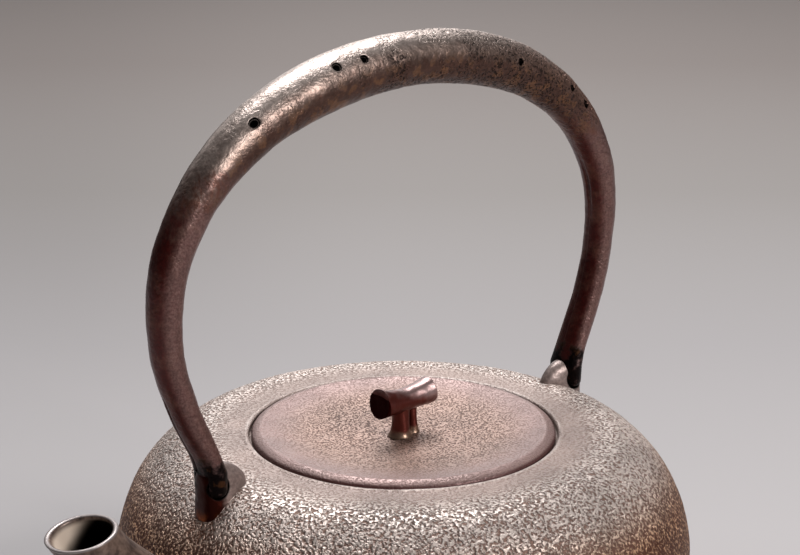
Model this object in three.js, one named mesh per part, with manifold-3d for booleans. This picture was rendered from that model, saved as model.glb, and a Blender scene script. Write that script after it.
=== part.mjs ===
// A cast-iron tetsubin: kettle body, spout, two lugs, a forged hollow handle, and a lid with its knob.
// Millimetres, +Z up, origin at the centre of the flat base, spout towards +X.

import * as THREE from "three";
import { mergeVertices } from "three/addons/utils/BufferGeometryUtils.js";
import Module from "manifold-3d";

const wasm = await Module();
wasm.setup();

// Driving dimensions of the kettle body
const BODY_HEIGHT = 102; // base to the flat shoulder round the mouth
const BODY_RADIUS = 86.4;
const BELLY_DROP = 34; // shoulder down to the widest point
const SHOULDER_RING = 14; // edge of the lid's seat to where the flat shoulder rounds over
const BASE_RADIUS = 50;
const BASE_EDGE = 2.5; // rounding between the base and the side
const WALL = 3.6;
const BASE_WALL = 4.5;
const MOUTH_RADIUS = 41.3;
const SEAT_LEDGE = 4.7; // width of the ledge round the mouth that the lid sits on
const SEAT_DEPTH = 2.4;
const SEAT_LIP_WIDTH = 1.9; // low raised lip round the seat
const SEAT_LIP_RISE = 0.3;
const COLLAR_DEPTH = 7.5; // thickened rim of iron below the seat
const COLLAR_REACH = 12;
const COLLAR_EASE = 2; // how far the collar's lower edge is cut back, outwards
const COLLAR_EASE_RISE = 1.5; // and upwards
const SHOULDER_OUT_ROUND = 1.08; // exponents of the shoulder curve, outwards and downwards
const SHOULDER_DOWN_ROUND = 1.15;
const FLANK_ROUND = 0.65; // exponent of the curve from the belly to the base

// Lid and knob
const LID_GAP = 0.6;
const LID_PLATE = 3.2;
const LID_RIM_RISE = 1.4; // the lid's rim above the shoulder
const LID_DISH = 3.4; // depth of the hollow in its upper face
const LID_RIM_WIDTH = 2; // level ring outside the hollow
const LID_RIM_ROUND = 1.6;
const LID_FLANGE_DEPTH = 9;
const LID_FLANGE_WALL = 2.3;
const KNOB_FRONT_REACH = 9.6; // tenon axis to the end of the bar that faces the spout
const KNOB_REAR_REACH = 10.4;
const KNOB_FRONT_RADIUS = 4.6;
const KNOB_WAIST_RADIUS = 3.5;
const KNOB_REAR_RADIUS = 4.2;
const KNOB_HEIGHT = 11.2; // dish of the lid to the middle of the bar
const KNOB_END_RISE = 0.9; // how much higher the ends of the bar lie than its middle
const KNOB_END_LEAN = 9; // degrees that the ends lean
const KNOB_LEG_SINK = 1; // how far the legs stop below the bar's middle
const KNOB_THICK_LEG = { footX: 1.3, topX: 1.1, footRadius: 2.7, topRadius: 2.7 };
const KNOB_THIN_LEG = { footX: -3.9, topX: -3.2, footRadius: 1.4, topRadius: 1.7 };
const KNOB_FOOT_SPREAD = 0.35; // how much wider a leg's foot is, as a share
const TENON_RADIUS = 1.9;
const TENON_STAND = 2; // how far the tenon runs up into the thick leg
const WASHER_RADIUS = 5.6;
const WASHER_THICKNESS = 1.2;
const WASHER_CHAMFER = 0.3;
const RIVET_HEAD_RADIUS = 3.3;
const RIVET_HEAD_HEIGHT = 1.4;

// Lugs: their eyes carry the handle
const LUG_SETBACK = 25; // edge of the lid's seat to the middle of the eye
const LUG_RISE = 6.9; // shoulder plane to the top of the lug
const LUG_INNER_REACH = 11.9; // eye to the point of the lug, towards the lid
const LUG_OUTER_REACH = 3.9;
const LUG_HALF_WIDTH = 4.1;
const LUG_ROOT = 2; // how deep the lug is set into the wall
const EYE_RADIUS = 2.9;
const EYE_RISE = 0.9; // shoulder plane to the middle of the eye
const LUG_POINT_ROUND = 1.1; // exponents of the lug's plan, towards the lid and away from it
const LUG_BACK_ROUND = 0.5;
const LUG_LEAN = 1; // the front eye stands this much higher, and the rear eye this much lower
const FRONT_SWAY = -1; // how far the front lug and foot stand off the kettle's middle plane

// Handle: a tube of sheet iron, thick on top and tapering to its feet
const HANDLE_RISE = 111.4; // shoulder plane to the middle of the tube at the top
const HANDLE_BULGE = 13.5; // how far the tube stands out beyond the eyes where it is widest
const HANDLE_WALL = 1.6;
const FOOT_GAP = 0.35; // between a foot and its lug
const FOOT_RISE = 5; // shoulder plane to the mouth of each foot
const FOOT_WIDTH = 12;
const FOOT_DEPTH = 7.4;
const FOOT_NOTCH_RADIUS = 1.8; // arch in each side of a foot
const FOOT_NOTCH_INSET = 2.6; // from the eye towards the lid
const FOOT_NOTCH_RISE = -0.2; // above the foot's mouth
const HOOK_WIDTH = 3.4;
const HOOK_THICKNESS = 1.7;
const HOOK_DROP = 2.4; // above the eye's middle, where a hook starts to turn inwards
const PORE_RADIUS = 0.9;

// Spout
const SPOUT_OVERHANG = 27.9; // the body's widest point to the middle of the mouth
const SPOUT_MOUTH_RISE = 0.85; // above the shoulder plane
const SPOUT_MOUTH_TILT = 10; // degrees that the mouth leans outwards
const SPOUT_ROOT_DROP = 40; // shoulder plane to the middle of the root
const SPOUT_ROOT_INSET = 12; // the body's widest point to where the spout starts, in the cavity
const SPOUT_ROOT_SLOPE = { start: -4, end: 6, beyond: 2 }; // heights and end of its first stretch
const SPOUT_NECK_BACK = 9; // from the mouth's middle back and down to where the neck points
const SPOUT_NECK_DROP = 15;
const SPOUT_ROOT_RADIUS = 17;
const SPOUT_LIP_RADIUS = 9.85;
const SPOUT_NECK_RADIUS = 9;
const SPOUT_WALL = 2.6;
const SPOUT_LIP_WALL = 1.5;

const SEAM = 0.3; // gap between two castings that meet
const BORE_PAST = 0.6; // how far a cut reaches past the end that it opens
const ACROSS_LUG = 40; // length of a cut that goes right through a lug and a foot
const TURN_STEPS = 56;

// Places that several pieces share
const SEAT_RADIUS = MOUTH_RADIUS + SEAT_LEDGE;
const SHOULDER_FLAT_RADIUS = SEAT_RADIUS + SHOULDER_RING;
const LUG_OFFSET = SEAT_RADIUS + LUG_SETBACK;
const HANDLE_SPREAD = LUG_OFFSET + HANDLE_BULGE;
const radians = THREE.MathUtils.degToRad;

// Solids

function solidFrom(geometry) {
  const bare = geometry.index ? geometry.toNonIndexed() : geometry.clone();
  bare.deleteAttribute("normal");
  bare.deleteAttribute("uv");
  const merged = mergeVertices(bare, 1e-4);
  const make = (triVerts) =>
    new wasm.Manifold(
      new wasm.Mesh({ numProp: 3, vertProperties: merged.attributes.position.array, triVerts }),
    );
  const triangles = new Uint32Array(merged.index.array);
  const solid = make(triangles);
  if (solid.volume() > 0) return solid;
  return make(triangles.reverse());
}

function meshFrom(name, solid, material) {
  const { numProp, vertProperties, triVerts } = solid.getMesh();
  const positions = new Float32Array((vertProperties.length / numProp) * 3);
  for (let i = 0; i * numProp < vertProperties.length; i++) {
    positions.set(vertProperties.subarray(i * numProp, i * numProp + 3), i * 3);
  }
  const geometry = new THREE.BufferGeometry();
  geometry.setAttribute("position", new THREE.BufferAttribute(positions, 3));
  geometry.setIndex(new THREE.BufferAttribute(triVerts, 1));
  geometry.computeVertexNormals();
  const mesh = new THREE.Mesh(geometry, material);
  mesh.name = name;
  return mesh;
}

// Turns a profile of [radius, height] pairs round the kettle's upright axis.
function turned(profile, steps = TURN_STEPS) {
  const points = profile.map(([radius, height]) => new THREE.Vector2(radius, height));
  return solidFrom(new THREE.LatheGeometry(points, steps).rotateX(Math.PI / 2));
}

// Skins a row of rings, each with the same number of points, and closes both ends.
function lofted(rings) {
  const count = rings[0].length;
  const positions = rings.flat().flatMap((p) => [p.x, p.y, p.z]);
  const index = [];
  for (let r = 0; r + 1 < rings.length; r++) {
    for (let i = 0; i < count; i++) {
      const a = r * count + i;
      const b = r * count + ((i + 1) % count);
      index.push(a, b, b + count, a, b + count, a + count);
    }
  }
  const last = (rings.length - 1) * count;
  for (let i = 1; i + 1 < count; i++) {
    index.push(0, i + 1, i, last, last + i, last + i + 1);
  }
  const geometry = new THREE.BufferGeometry();
  geometry.setAttribute("position", new THREE.Float32BufferAttribute(positions, 3));
  geometry.setIndex(index);
  return solidFrom(geometry);
}

// A closed ring round a centre: across and up are its two axes, each with its own half size.
function ovalRing(centre, across, up, halfAcross, halfUp, sides) {
  return Array.from({ length: sides }, (_, i) => {
    const angle = (2 * Math.PI * i) / sides;
    return centre
      .clone()
      .addScaledVector(across, halfAcross * Math.cos(angle))
      .addScaledVector(up, halfUp * Math.sin(angle));
  });
}

function cylinderAlongY(radius, length, x, z, sides = 20) {
  return solidFrom(new THREE.CylinderGeometry(radius, radius, length, sides).translate(x, 0, z));
}

// 1 for a piece on the spout's side of the kettle and -1 for one on the far side.
const SPOUT_SIDE = 1;
const FAR_SIDE = -1;

function swayOf(side) {
  return side === SPOUT_SIDE ? FRONT_SWAY : 0;
}

function onSide(side, solid) {
  return solid.scale([side, 1, 1]).translate([0, swayOf(side), side * LUG_LEAN]);
}

// Kettle body

const shoulderHeight = BODY_HEIGHT;
const bellyHeight = BODY_HEIGHT - BELLY_DROP;

// The outside of the body from the base edge up to the seat, as [radius, height] pairs.
function bodyOutline() {
  const outline = [[BASE_RADIUS - BASE_EDGE, 0]];
  const flankSteps = 9;
  const shoulderSteps = 10;
  for (let i = flankSteps; i >= 0; i--) {
    const angle = (Math.PI / 2) * (i / flankSteps);
    const radius = BASE_RADIUS + (BODY_RADIUS - BASE_RADIUS) * Math.cos(angle) ** FLANK_ROUND;
    const height = bellyHeight - (bellyHeight - BASE_EDGE) * Math.sin(angle);
    outline.push([radius, height]);
  }
  for (let i = shoulderSteps - 1; i >= 0; i--) {
    const angle = (Math.PI / 2) * (i / shoulderSteps);
    const span = BODY_RADIUS - SHOULDER_FLAT_RADIUS;
    const radius = SHOULDER_FLAT_RADIUS + span * Math.sin(angle) ** SHOULDER_OUT_ROUND;
    const height = bellyHeight + BELLY_DROP * Math.cos(angle) ** SHOULDER_DOWN_ROUND;
    outline.push([radius, height]);
  }
  outline.push([SEAT_RADIUS + SEAT_LIP_WIDTH, shoulderHeight]);
  outline.push([SEAT_RADIUS + SEAT_LIP_WIDTH / 2, shoulderHeight + SEAT_LIP_RISE]);
  outline.push([SEAT_RADIUS, shoulderHeight + SEAT_LIP_RISE]);
  return outline;
}

// The same outline moved into the iron by a distance.
function insetOutline(outline, distance) {
  return outline.map(([radius, height], i) => {
    const [r0, h0] = outline[Math.max(i - 1, 0)];
    const [r1, h1] = outline[Math.min(i + 1, outline.length - 1)];
    const length = Math.hypot(r1 - r0, h1 - h0);
    return [radius - ((h1 - h0) / length) * distance, height + ((r1 - r0) / length) * distance];
  });
}

function bodyCavity() {
  const collarFoot = shoulderHeight - COLLAR_DEPTH;
  const inside = insetOutline(bodyOutline().slice(1), WALL).filter(
    ([radius, height]) => height > BASE_WALL && radius > SEAT_RADIUS + COLLAR_REACH,
  );
  return [
    [0, BASE_WALL],
    [BASE_RADIUS - WALL, BASE_WALL],
    ...inside,
    [MOUTH_RADIUS + COLLAR_EASE, collarFoot],
    [MOUTH_RADIUS, collarFoot + COLLAR_EASE_RISE],
    [MOUTH_RADIUS, shoulderHeight - SEAT_DEPTH],
    [SEAT_RADIUS, shoulderHeight - SEAT_DEPTH],
    [SEAT_RADIUS, shoulderHeight + 1],
    [0, shoulderHeight + 1],
  ];
}

// A solid that fills the body's outline down to a given depth below its skin.
function bodyCore(depth) {
  const outline = insetOutline(bodyOutline(), depth);
  return turned([[0, depth], ...outline, [0, outline.at(-1)[1]]]);
}

// Lugs

// Shares of the lug's reaches and width at each height over the shoulder plane.
const LUG_SECTIONS = [
  { height: -15, inner: 1.1, outer: 1, width: 1.15 },
  { height: -5, inner: 1.05, outer: 1, width: 1.08 },
  { height: 0, inner: 1, outer: 1, width: 1 },
  { height: 0.3 * LUG_RISE, inner: 0.92, outer: 1, width: 0.97 },
  { height: 0.57 * LUG_RISE, inner: 0.77, outer: 0.97, width: 0.88 },
  { height: 0.82 * LUG_RISE, inner: 0.56, outer: 0.87, width: 0.71 },
  { height: 0.95 * LUG_RISE, inner: 0.38, outer: 0.64, width: 0.45 },
  { height: LUG_RISE, inner: 0.26, outer: 0.34, width: 0.22 },
];

// A ring with a blunt point towards the lid and a squarer end away from it.
function lugRing({ height, inner, outer, width }, grow) {
  const sides = 24;
  const level = shoulderHeight + height + Math.sign(height) * grow;
  return Array.from({ length: sides }, (_, i) => {
    const angle = (2 * Math.PI * i) / sides;
    const along = Math.cos(angle);
    const aside = Math.sin(angle);
    const reach = along < 0 ? -(LUG_INNER_REACH * inner + grow) : LUG_OUTER_REACH * outer + grow;
    const round = along < 0 ? LUG_POINT_ROUND : LUG_BACK_ROUND;
    const y = Math.sign(aside) * Math.abs(aside) ** round * (LUG_HALF_WIDTH * width + grow);
    return new THREE.Vector3(LUG_OFFSET + reach * Math.abs(along) ** round, y, level);
  });
}

function lugBlank(grow = 0) {
  return lofted(LUG_SECTIONS.map((section) => lugRing(section, grow)));
}

function lugEye(shrink = 0) {
  return cylinderAlongY(EYE_RADIUS - shrink, ACROSS_LUG, LUG_OFFSET, shoulderHeight + EYE_RISE);
}

function lugSolid(side) {
  return onSide(side, lugBlank().subtract(lugEye())).subtract(bodyCore(LUG_ROOT));
}

function lugPocket(side) {
  return onSide(side, lugBlank(SEAM)).subtract(bodyCore(LUG_ROOT + SEAM));
}

// Spout

const spoutRoot = new THREE.Vector3(BODY_RADIUS, 0, shoulderHeight - SPOUT_ROOT_DROP);
const spoutMouth = new THREE.Vector3(
  BODY_RADIUS + SPOUT_OVERHANG,
  0,
  shoulderHeight + SPOUT_MOUTH_RISE,
);
const spoutPath = new THREE.CubicBezierCurve3(
  spoutRoot.clone().add(new THREE.Vector3(-SPOUT_ROOT_INSET, 0, SPOUT_ROOT_SLOPE.start)),
  spoutRoot.clone().add(new THREE.Vector3(SPOUT_ROOT_SLOPE.beyond, 0, SPOUT_ROOT_SLOPE.end)),
  spoutMouth.clone().add(new THREE.Vector3(-SPOUT_NECK_BACK, 0, -SPOUT_NECK_DROP)),
  spoutMouth,
);

// Rings across the spout's path. The last ones lean until they lie in the mouth's plane.
function spoutRings(shrink, lipShrink, past = 0) {
  const steps = 12;
  const sides = 20;
  const across = new THREE.Vector3(0, 1, 0);
  return Array.from({ length: steps + 1 }, (_, i) => {
    const t = i / steps;
    const centre = spoutPath.getPointAt(t);
    const tangent = spoutPath.getTangentAt(t);
    const taper = (1 - t) ** 1.7;
    const lip = t ** 9;
    const outside = SPOUT_NECK_RADIUS + (SPOUT_ROOT_RADIUS - SPOUT_NECK_RADIUS) * taper;
    const radius =
      outside + (SPOUT_LIP_RADIUS - SPOUT_NECK_RADIUS) * lip - shrink + (shrink - lipShrink) * lip;
    const lean = THREE.MathUtils.lerp(
      Math.atan2(tangent.x, tangent.z),
      radians(SPOUT_MOUTH_TILT),
      THREE.MathUtils.smoothstep(t, 0.55, 1),
    );
    const up = new THREE.Vector3(-Math.cos(lean), 0, Math.sin(lean));
    const normal = new THREE.Vector3(Math.sin(lean), 0, Math.cos(lean));
    if (i === 0) centre.addScaledVector(normal, -past);
    if (i === steps) centre.addScaledVector(normal, past);
    return ovalRing(centre, across, up, radius, radius, sides);
  });
}

// The spout keeps only what lies outside the body's skin, and a collar as deep as the wall.
function spoutSolid() {
  const outside = lofted(spoutRings(0, 0));
  const bore = lofted(spoutRings(SPOUT_WALL, SPOUT_LIP_WALL, BORE_PAST));
  return outside.subtract(bodyCore(WALL)).subtract(bore);
}

function spoutOpening() {
  return lofted(spoutRings(-SEAM, -SEAM, BORE_PAST));
}

// Handle

// Middle of the tube from the top down one side, with its width along Y and its depth across that.
const handleStations = [
  { x: 0, z: HANDLE_RISE, width: 16.4, depth: 16.4 },
  { x: 0.204 * HANDLE_SPREAD, z: 0.99 * HANDLE_RISE, width: 16.7, depth: 16.7 },
  { x: 0.426 * HANDLE_SPREAD, z: 0.955 * HANDLE_RISE, width: 16.3, depth: 16.3 },
  { x: 0.656 * HANDLE_SPREAD, z: 0.883 * HANDLE_RISE, width: 14.9, depth: 14.8 },
  { x: 0.858 * HANDLE_SPREAD, z: 0.76 * HANDLE_RISE, width: 13.1, depth: 12.9 },
  { x: 0.986 * HANDLE_SPREAD, z: 0.59 * HANDLE_RISE, width: 11.7, depth: 11.3 },
  { x: HANDLE_SPREAD, z: 0.382 * HANDLE_RISE, width: 10.5, depth: 9.3 },
  { x: LUG_OFFSET + 7.9, z: FOOT_RISE + 21, width: 10.2, depth: 7.1 },
  { x: LUG_OFFSET + 3.6, z: FOOT_RISE + 10.5, width: 10.2, depth: 6.3 },
  { x: LUG_OFFSET + 1.5, z: FOOT_RISE + 5, width: 10.8, depth: 6.6 },
  { x: LUG_OFFSET, z: FOOT_RISE, width: FOOT_WIDTH, depth: FOOT_DEPTH },
];

// The same stations in order from the far foot over the top to the front foot. Near its feet the
// handle follows the lugs, which do not stand quite alike.
function wholeHandle() {
  const side = (sign) =>
    handleStations.map(({ x, z, width, depth }) => {
      const byFoot = 1 - THREE.MathUtils.smoothstep(z, FOOT_RISE + 10, 0.6 * HANDLE_RISE);
      const centre = new THREE.Vector3(sign * x, 0, shoulderHeight + z);
      centre.add(new THREE.Vector3(0, swayOf(sign), sign * LUG_LEAN).multiplyScalar(byFoot));
      return { centre, width, depth };
    });
  return [...side(FAR_SIDE).slice(1).reverse(), ...side(SPOUT_SIDE)];
}

const stations = wholeHandle();
const handlePath = new THREE.CatmullRomCurve3(
  stations.map((station) => station.centre),
  false,
  "centripetal",
);

// Place, size and axes of the tube at a share of the way along its stations.
function handleSection(share) {
  const span = stations.length - 1;
  const from = Math.min(Math.floor(share * span), span - 1);
  const between = share * span - from;
  const size = (key) => THREE.MathUtils.lerp(stations[from][key], stations[from + 1][key], between);
  const tangent = handlePath.getTangent(share);
  const square = new THREE.Vector3(-tangent.z, 0, tangent.x);
  const level = new THREE.Vector3(Math.sign(2 * share - 1), 0, 0);
  const outward = square.lerp(level, THREE.MathUtils.smoothstep(Math.abs(2 * share - 1), 0.76, 1));
  return {
    centre: handlePath.getPoint(share),
    outward: outward.normalize(),
    halfWidth: size("width") / 2,
    halfDepth: size("depth") / 2,
  };
}

// Rings of the tube, drawn in by a distance. The end rings can reach past the feet, to cut them open.
function handleRings(shrink, past = 0) {
  const steps = 2 * (stations.length - 1);
  const sides = 16;
  const across = new THREE.Vector3(0, 1, 0);
  return Array.from({ length: steps + 1 }, (_, i) => {
    const { centre, outward, halfWidth, halfDepth } = handleSection(i / steps);
    if (i === 0 || i === steps) centre.z -= past;
    return ovalRing(centre, across, outward, halfWidth - shrink, halfDepth - shrink, sides);
  });
}

// Middle line of a hook from inside the foot's wall to its tip in the eye: how far each point lies
// beyond the eye, in from the wall's own line, and above the foot's mouth or the eye's middle.
const hookInWall = [
  { beyond: 2.8, inward: 1.4, above: 9 },
  { beyond: 1.1, inward: 0.6, above: 4.5 },
  { beyond: 0.2, inward: 0, above: 0.8 },
];
const hookInEye = [
  { beyond: 0, inward: 0, above: HOOK_DROP },
  { beyond: 0, inward: 0.3, above: 0.5 },
  { beyond: 0, inward: 1.7, above: -0.4 },
  { beyond: 0, inward: 3.4, above: -0.5 },
];

function hookPath(face) {
  const wallY = (FOOT_WIDTH - HOOK_THICKNESS) / 2;
  const place = (level) => (step) =>
    new THREE.Vector3(
      LUG_OFFSET + step.beyond,
      face * (wallY - step.inward),
      shoulderHeight + level + step.above,
    );
  const points = [...hookInWall.map(place(FOOT_RISE)), ...hookInEye.map(place(EYE_RISE))];
  return new THREE.CatmullRomCurve3(points, false, "centripetal");
}

// A flat strip that leaves the foot's side wall, runs down beside the lug and turns into its eye.
function hookSolid(face) {
  const path = hookPath(face);
  const steps = 14;
  const across = new THREE.Vector3(1, 0, 0);
  const rings = Array.from({ length: steps + 1 }, (_, i) => {
    const tangent = path.getTangentAt(i / steps);
    const through = new THREE.Vector3().crossVectors(across, tangent).normalize();
    return ovalRing(path.getPointAt(i / steps), across, through, HOOK_WIDTH / 2, HOOK_THICKNESS / 2, 10);
  });
  return lofted(rings);
}

// The arch cut in each side of a foot, between its inner wall and its hook.
function footNotch() {
  const height = shoulderHeight + FOOT_RISE + FOOT_NOTCH_RISE;
  return cylinderAlongY(FOOT_NOTCH_RADIUS, ACROSS_LUG, LUG_OFFSET - FOOT_NOTCH_INSET, height);
}

// Round pores of the tube, each by its share of the way along and its angle over the side.
const PORES = [
  { along: 0.65, around: 43 },
  { along: 0.58, around: 45 },
  { along: 0.556, around: 39 },
  { along: 0.39, around: 12 },
  { along: 0.332, around: 22 },
  { along: 0.312, around: 21 },
];

function poreSolid({ along, around }) {
  const { centre, outward, halfWidth } = handleSection(along);
  const direction = outward
    .multiplyScalar(Math.sin(radians(around)))
    .addScaledVector(new THREE.Vector3(0, 1, 0), Math.cos(radians(around)));
  const geometry = new THREE.CylinderGeometry(PORE_RADIUS, PORE_RADIUS, 2 * halfWidth, 10);
  geometry.translate(0, halfWidth, 0);
  geometry.applyQuaternion(new THREE.Quaternion().setFromUnitVectors(new THREE.Vector3(0, 1, 0), direction));
  geometry.translate(centre.x, centre.y, centre.z);
  return solidFrom(geometry);
}

function handleSolid() {
  const clearance = lugBlank(FOOT_GAP).subtract(lugEye(SEAM));
  let tube = lofted(handleRings(0)).subtract(lofted(handleRings(HANDLE_WALL, BORE_PAST)));
  for (const pore of PORES) tube = tube.subtract(poreSolid(pore));
  for (const side of [SPOUT_SIDE, FAR_SIDE]) {
    tube = tube.subtract(onSide(side, footNotch()));
    for (const face of [1, -1]) tube = tube.add(onSide(side, hookSolid(face)));
    tube = tube.subtract(onSide(side, clearance));
  }
  return tube;
}

// Lid

const lidTop = shoulderHeight + LID_RIM_RISE;
const lidRadius = SEAT_RADIUS - LID_GAP;
const dishHeight = lidTop - LID_DISH;
const lidSeat = shoulderHeight - SEAT_DEPTH + SEAM;
const flangeRadius = MOUTH_RADIUS - LID_GAP;

function dishAt(radius) {
  const share = THREE.MathUtils.clamp(radius / (lidRadius - LID_RIM_WIDTH), 0, 1);
  return dishHeight + LID_DISH * share ** 2.4;
}

function lidSolid() {
  const holeRadius = TENON_RADIUS + SEAM;
  const ringsAt = (shares, drop) =>
    shares.map((share) => [share * lidRadius, dishAt(share * lidRadius) - drop]);
  const dish = ringsAt([0.22, 0.397, 0.551, 0.683, 0.793, 0.881], 0);
  const under = ringsAt([0.749, 0.529, 0.264], LID_PLATE);
  const flangeFoot = lidSeat - LID_FLANGE_DEPTH;
  const flangeInside = flangeRadius - LID_FLANGE_WALL;
  return turned([
    [holeRadius, dishHeight],
    ...dish,
    [lidRadius - LID_RIM_ROUND, lidTop],
    [lidRadius - 0.5, lidTop - 0.4],
    [lidRadius, lidTop - 1.3],
    [lidRadius, lidSeat],
    [flangeRadius, lidSeat],
    [flangeRadius, flangeFoot + 0.6],
    [flangeRadius - 0.6, flangeFoot],
    [flangeInside, flangeFoot],
    [flangeInside, dishAt(flangeInside) - LID_PLATE - 0.8],
    ...under,
    [holeRadius, dishHeight - LID_PLATE],
    [holeRadius, dishHeight],
  ]);
}

// Knob: a short length of branch on two legs, with a tenon that is riveted under the lid.
function knobBar() {
  const steps = 12;
  const sideways = new THREE.Vector3(0, 1, 0);
  const rings = Array.from({ length: steps + 1 }, (_, i) => {
    const u = (2 * i) / steps - 1;
    const [reach, endRadius] =
      u > 0 ? [KNOB_FRONT_REACH, KNOB_FRONT_RADIUS] : [KNOB_REAR_REACH, KNOB_REAR_RADIUS];
    const radius = THREE.MathUtils.lerp(KNOB_WAIST_RADIUS, endRadius, Math.abs(u) ** 1.9);
    const height = dishHeight + KNOB_HEIGHT + KNOB_END_RISE * u * u;
    const centre = new THREE.Vector3(u * reach, 0, height);
    const lean = radians(KNOB_END_LEAN) * u;
    const up = new THREE.Vector3(-Math.sin(lean), 0, Math.cos(lean));
    return ovalRing(centre, sideways, up, radius, radius, 16);
  });
  return lofted(rings);
}

function knobLeg({ footX, topX, footRadius, topRadius }) {
  const rings = [0, 0.08, 0.25, 0.6, 1].map((share) => {
    const spread = 1 + KNOB_FOOT_SPREAD * (1 - share) ** 9;
    const radius = THREE.MathUtils.lerp(footRadius, topRadius, share) * spread;
    const height = dishHeight + SEAM + share * (KNOB_HEIGHT - KNOB_LEG_SINK);
    const centre = new THREE.Vector3(THREE.MathUtils.lerp(footX, topX, share), 0, height);
    return ovalRing(centre, new THREE.Vector3(0, 1, 0), new THREE.Vector3(1, 0, 0), radius, radius, 12);
  });
  return lofted(rings);
}

function knobTenon() {
  const foot = dishHeight - LID_PLATE - WASHER_THICKNESS - 3 * SEAM;
  const top = dishHeight + TENON_STAND;
  return turned(
    [
      [0, foot - RIVET_HEAD_HEIGHT],
      [RIVET_HEAD_RADIUS * 0.7, foot - RIVET_HEAD_HEIGHT],
      [RIVET_HEAD_RADIUS, foot],
      [TENON_RADIUS, foot],
      [TENON_RADIUS, top],
      [0, top],
    ],
    24,
  );
}

function knobSolid() {
  return knobBar().add(knobLeg(KNOB_THICK_LEG)).add(knobLeg(KNOB_THIN_LEG)).add(knobTenon());
}

function washerSolid() {
  const top = dishHeight - LID_PLATE - SEAM;
  return turned(
    [
      [TENON_RADIUS + SEAM, top],
      [WASHER_RADIUS, top],
      [WASHER_RADIUS, top - WASHER_THICKNESS + WASHER_CHAMFER],
      [WASHER_RADIUS - WASHER_CHAMFER, top - WASHER_THICKNESS],
      [TENON_RADIUS + SEAM, top - WASHER_THICKNESS],
      [TENON_RADIUS + SEAM, top],
    ],
    32,
  );
}

// Assembly

const castSkin = new THREE.MeshStandardMaterial({ color: 0x6f5f54, roughness: 0.62, metalness: 0.55 });
const smoothCast = new THREE.MeshStandardMaterial({ color: 0x5a4f4a, roughness: 0.5, metalness: 0.6 });
const lugIron = new THREE.MeshStandardMaterial({ color: 0x5b5452, roughness: 0.42, metalness: 0.65 });
const lidIron = new THREE.MeshStandardMaterial({ color: 0x6d544d, roughness: 0.55, metalness: 0.5 });
const knobIron = new THREE.MeshStandardMaterial({ color: 0x4a2f2a, roughness: 0.35, metalness: 0.6 });
const wroughtIron = new THREE.MeshStandardMaterial({ color: 0x54423d, roughness: 0.45, metalness: 0.6 });

const cavity = turned(bodyCavity());
const bodyBlank = turned([[0, 0], ...bodyOutline(), [0, shoulderHeight]]);
const kettleBody = bodyBlank
  .subtract(cavity)
  .subtract(lugPocket(SPOUT_SIDE))
  .subtract(lugPocket(FAR_SIDE))
  .subtract(spoutOpening());

const tetsubin = new THREE.Group();
tetsubin.add(meshFrom("kettle_body", kettleBody, castSkin));
tetsubin.add(meshFrom("spout", spoutSolid(), smoothCast));
tetsubin.add(meshFrom("front_lug", lugSolid(SPOUT_SIDE), lugIron));
tetsubin.add(meshFrom("rear_lug", lugSolid(FAR_SIDE), lugIron));
tetsubin.add(meshFrom("handle", handleSolid(), wroughtIron));
tetsubin.add(meshFrom("lid", lidSolid(), lidIron));
tetsubin.add(meshFrom("lid_knob", knobSolid(), knobIron));
tetsubin.add(meshFrom("knob_washer", washerSolid(), lidIron));

export default tetsubin;
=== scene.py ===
"""Visual model of a cast-iron kettle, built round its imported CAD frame.

Shapes are worked out in millimetres and turned into metres when a mesh is made.
"""

import logging
import math
from dataclasses import dataclass, field
from enum import Enum
from typing import Callable, Optional, Union

import bpy
import numpy as np
from mathutils import Matrix, Vector


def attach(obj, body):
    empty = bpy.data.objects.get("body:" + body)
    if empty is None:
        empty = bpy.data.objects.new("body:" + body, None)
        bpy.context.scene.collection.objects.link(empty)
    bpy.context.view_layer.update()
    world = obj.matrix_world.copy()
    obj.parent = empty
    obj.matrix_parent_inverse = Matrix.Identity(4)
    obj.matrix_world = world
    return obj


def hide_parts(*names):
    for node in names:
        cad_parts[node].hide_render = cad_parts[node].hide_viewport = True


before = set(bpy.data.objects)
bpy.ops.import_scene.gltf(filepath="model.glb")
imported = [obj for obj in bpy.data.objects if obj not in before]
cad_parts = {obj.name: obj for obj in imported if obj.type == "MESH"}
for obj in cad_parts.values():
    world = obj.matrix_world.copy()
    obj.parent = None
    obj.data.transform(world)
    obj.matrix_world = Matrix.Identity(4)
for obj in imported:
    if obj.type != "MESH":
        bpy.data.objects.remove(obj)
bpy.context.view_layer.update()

log = logging.getLogger("kettle")

MM = 0.001
SHOULDER = 102.0  # height of the flat shoulder round the mouth
Colour = tuple[float, float, float, float]
Place = tuple[float, float, float]
Socket = bpy.types.NodeSocket
Input = Union["Value", Socket, float, tuple]


class Side(Enum):
    """Which end of the kettle a lug or foot is at, as the sign of its x."""

    FRONT = 1
    REAR = -1


def colour(red: int, green: int, blue: int) -> Colour:
    """A linear colour from its 0 to 255 screen values."""

    def linear(part: int) -> float:
        """One channel, without the screen's gamma."""
        share = part / 255
        return share / 12.92 if share <= 0.04045 else ((share + 0.055) / 1.055) ** 2.4

    return (linear(red), linear(green), linear(blue), 1.0)


# Node trees


def maths(operation: str, swapped: bool = False) -> Callable[..., "Value"]:
    """A method of Value that adds one Math node.

    Args:
        operation: the Math node's operation.
        swapped: True takes the other number first, for a reflected operator.

    Returns:
        The method.
    """

    def method(self: "Value", other: Input = 0.0) -> "Value":
        """The node's result."""
        first, second = (other, self) if swapped else (self, other)
        node = self.sheet.node("ShaderNodeMath", {"operation": operation}, {0: first, 1: second})
        return Value(self.sheet, node.outputs[0])

    return method


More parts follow.
